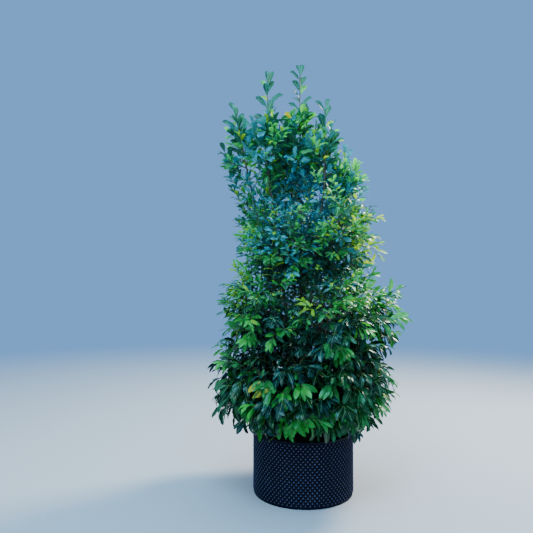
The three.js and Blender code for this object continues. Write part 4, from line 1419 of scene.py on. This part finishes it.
class LAUREL_OT_stage(bpy.types.Operator):
    """Make the floor, the soft light and the camera"""

    bl_idname = "laurel.stage"
    bl_label = "Stage"

    FLOOR_RADIUS = 60
    FLOOR_CORNERS = 96
    # Between these distances the floor fades into the surroundings.
    FADE_FROM = 1.0
    FADE_TO = 11.0
    EVEN_UP_TO = math.radians(30)
    # Each light: where it stands, what it shines on, how wide it is, and its colour
    LIGHTS = {
        "key": ((3.8, 2.6, 5.6), (0, 0, 1.7), 2.0, (1.0, 0.95, 0.86)),
        "cool": ((-0.7, -2.5, 4.8), (0, 0, 2.8), 2.0, (0.20, 0.56, 1.0)),
        "fill": ((-3.6, -4.4, 4.2), (0, 0, 1.4), 3.5, (0.86, 0.94, 1.0)),
    }
    SENSOR = 36
    CLIP_END = 300

    def light(self, name, power, place, aim, size, colour):
        data = bpy.data.lights.new(name, "AREA")
        data.shape = "DISK"
        data.size = size
        data.energy = power
        data.color = colour
        light = bpy.data.objects.new(name, data)
        light.location = place
        light.rotation_euler = (Vector(aim) - Vector(place)).to_track_quat("-Z", "Y").to_euler()
        bpy.context.scene.collection.objects.link(light)

    def floor(self, settings, sky):
        corners = circle(self.FLOOR_CORNERS) * self.FLOOR_RADIUS
        mesh = build_mesh("floor", corners, np.arange(self.FLOOR_CORNERS)[None], smooth=False)
        floor = bpy.data.objects.new("floor", mesh)
        finish = Finish("floor", {"Roughness": 1.0, "Specular IOR Level": 0.0, "Emission Strength": 1.0})
        far = finish.square_from_axis().ramp(self.FADE_FROM ** 2, self.FADE_TO ** 2)
        black = (0.0, 0.0, 0.0)
        finish.give("Base Color", finish.blend(far, settings.floor, black))
        finish.give("Emission Color", finish.blend(far, black, sky))
        floor.data.materials.append(finish.material)
        bpy.context.scene.collection.objects.link(floor)
        floor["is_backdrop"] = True

    def surroundings(self, sky, zenith):
        """Soft light from all sides, even up to a third of the way and stronger from overhead."""
        world = bpy.data.worlds.new("surroundings")
        nodes = Nodes(world)
        height, = nodes.parts(nodes.node("ShaderNodeTexCoord", output="Generated"), "Z")
        colour = nodes.blend(height.ramp(math.sin(self.EVEN_UP_TO), 1.0), sky, zenith)
        nodes.link(colour, "Background", "Color")
        return world

    def execute(self, context):
        settings = context.scene.laurel_stage
        sky = [c * settings.sky_strength for c in settings.sky]
        zenith = [c * settings.zenith_strength for c in settings.zenith]
        self.floor(settings, sky)
        context.scene.world = self.surroundings(sky, zenith)
        for name, light in self.LIGHTS.items():
            self.light(name, getattr(settings, f"{name}_power"), *light)
        data = bpy.data.cameras.new("camera")
        data.sensor_width = self.SENSOR
        data.lens = settings.lens
        data.clip_end = self.CLIP_END
        camera = bpy.data.objects.new("camera", data)
        camera.location = settings.camera
        camera.rotation_euler = (math.pi / 2 + settings.tilt, 0, 0)
        context.scene.collection.objects.link(camera)
        context.scene.camera = camera
        return {"FINISHED"}


class LAUREL_PT_sidebar(bpy.types.Panel):
    """The sizes, colours and steps of the potted laurel"""

    bl_idname = "LAUREL_PT_sidebar"
    bl_label = "Potted cherry laurel"
    bl_space_type = "VIEW_3D"
    bl_region_type = "UI"
    bl_category = "Laurel"

    def draw(self, context):
        for name, _, operator in STEPS:
            box = self.layout.box()
            box.operator(operator.bl_idname)
            settings = getattr(context.scene, name)
            for setting in settings.__annotations__:
                box.prop(settings, setting)


STEPS = (
    ("laurel_pot", PotSettings, LAUREL_OT_pot),
    ("laurel_compost", CompostSettings, LAUREL_OT_compost),
    ("laurel_bark", BarkSettings, LAUREL_OT_bark),
    ("laurel_leaves", LeafSettings, LAUREL_OT_crown),
    ("laurel_stage", StageSettings, LAUREL_OT_stage),
)


def register():
    for name, group, operator in STEPS:
        bpy.utils.register_class(group)
        setattr(bpy.types.Scene, name, PointerProperty(type=group))
        bpy.utils.register_class(operator)
    bpy.utils.register_class(LAUREL_PT_sidebar)


def unregister():
    bpy.utils.unregister_class(LAUREL_PT_sidebar)
    for name, group, operator in reversed(STEPS):
        bpy.utils.unregister_class(operator)
        delattr(bpy.types.Scene, name)
        bpy.utils.unregister_class(group)


def main():
    register()
    bpy.ops.laurel.pot()
    bpy.ops.laurel.compost()
    bpy.ops.laurel.bark()
    bpy.ops.laurel.crown()
    bpy.ops.laurel.stage()
    sizes = {name: [[float(x) for x in corner] for corner in box]
             for name, box in (("cad", CAD_BOX), ("visual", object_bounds()))}


if __name__ == "__main__":
    main()
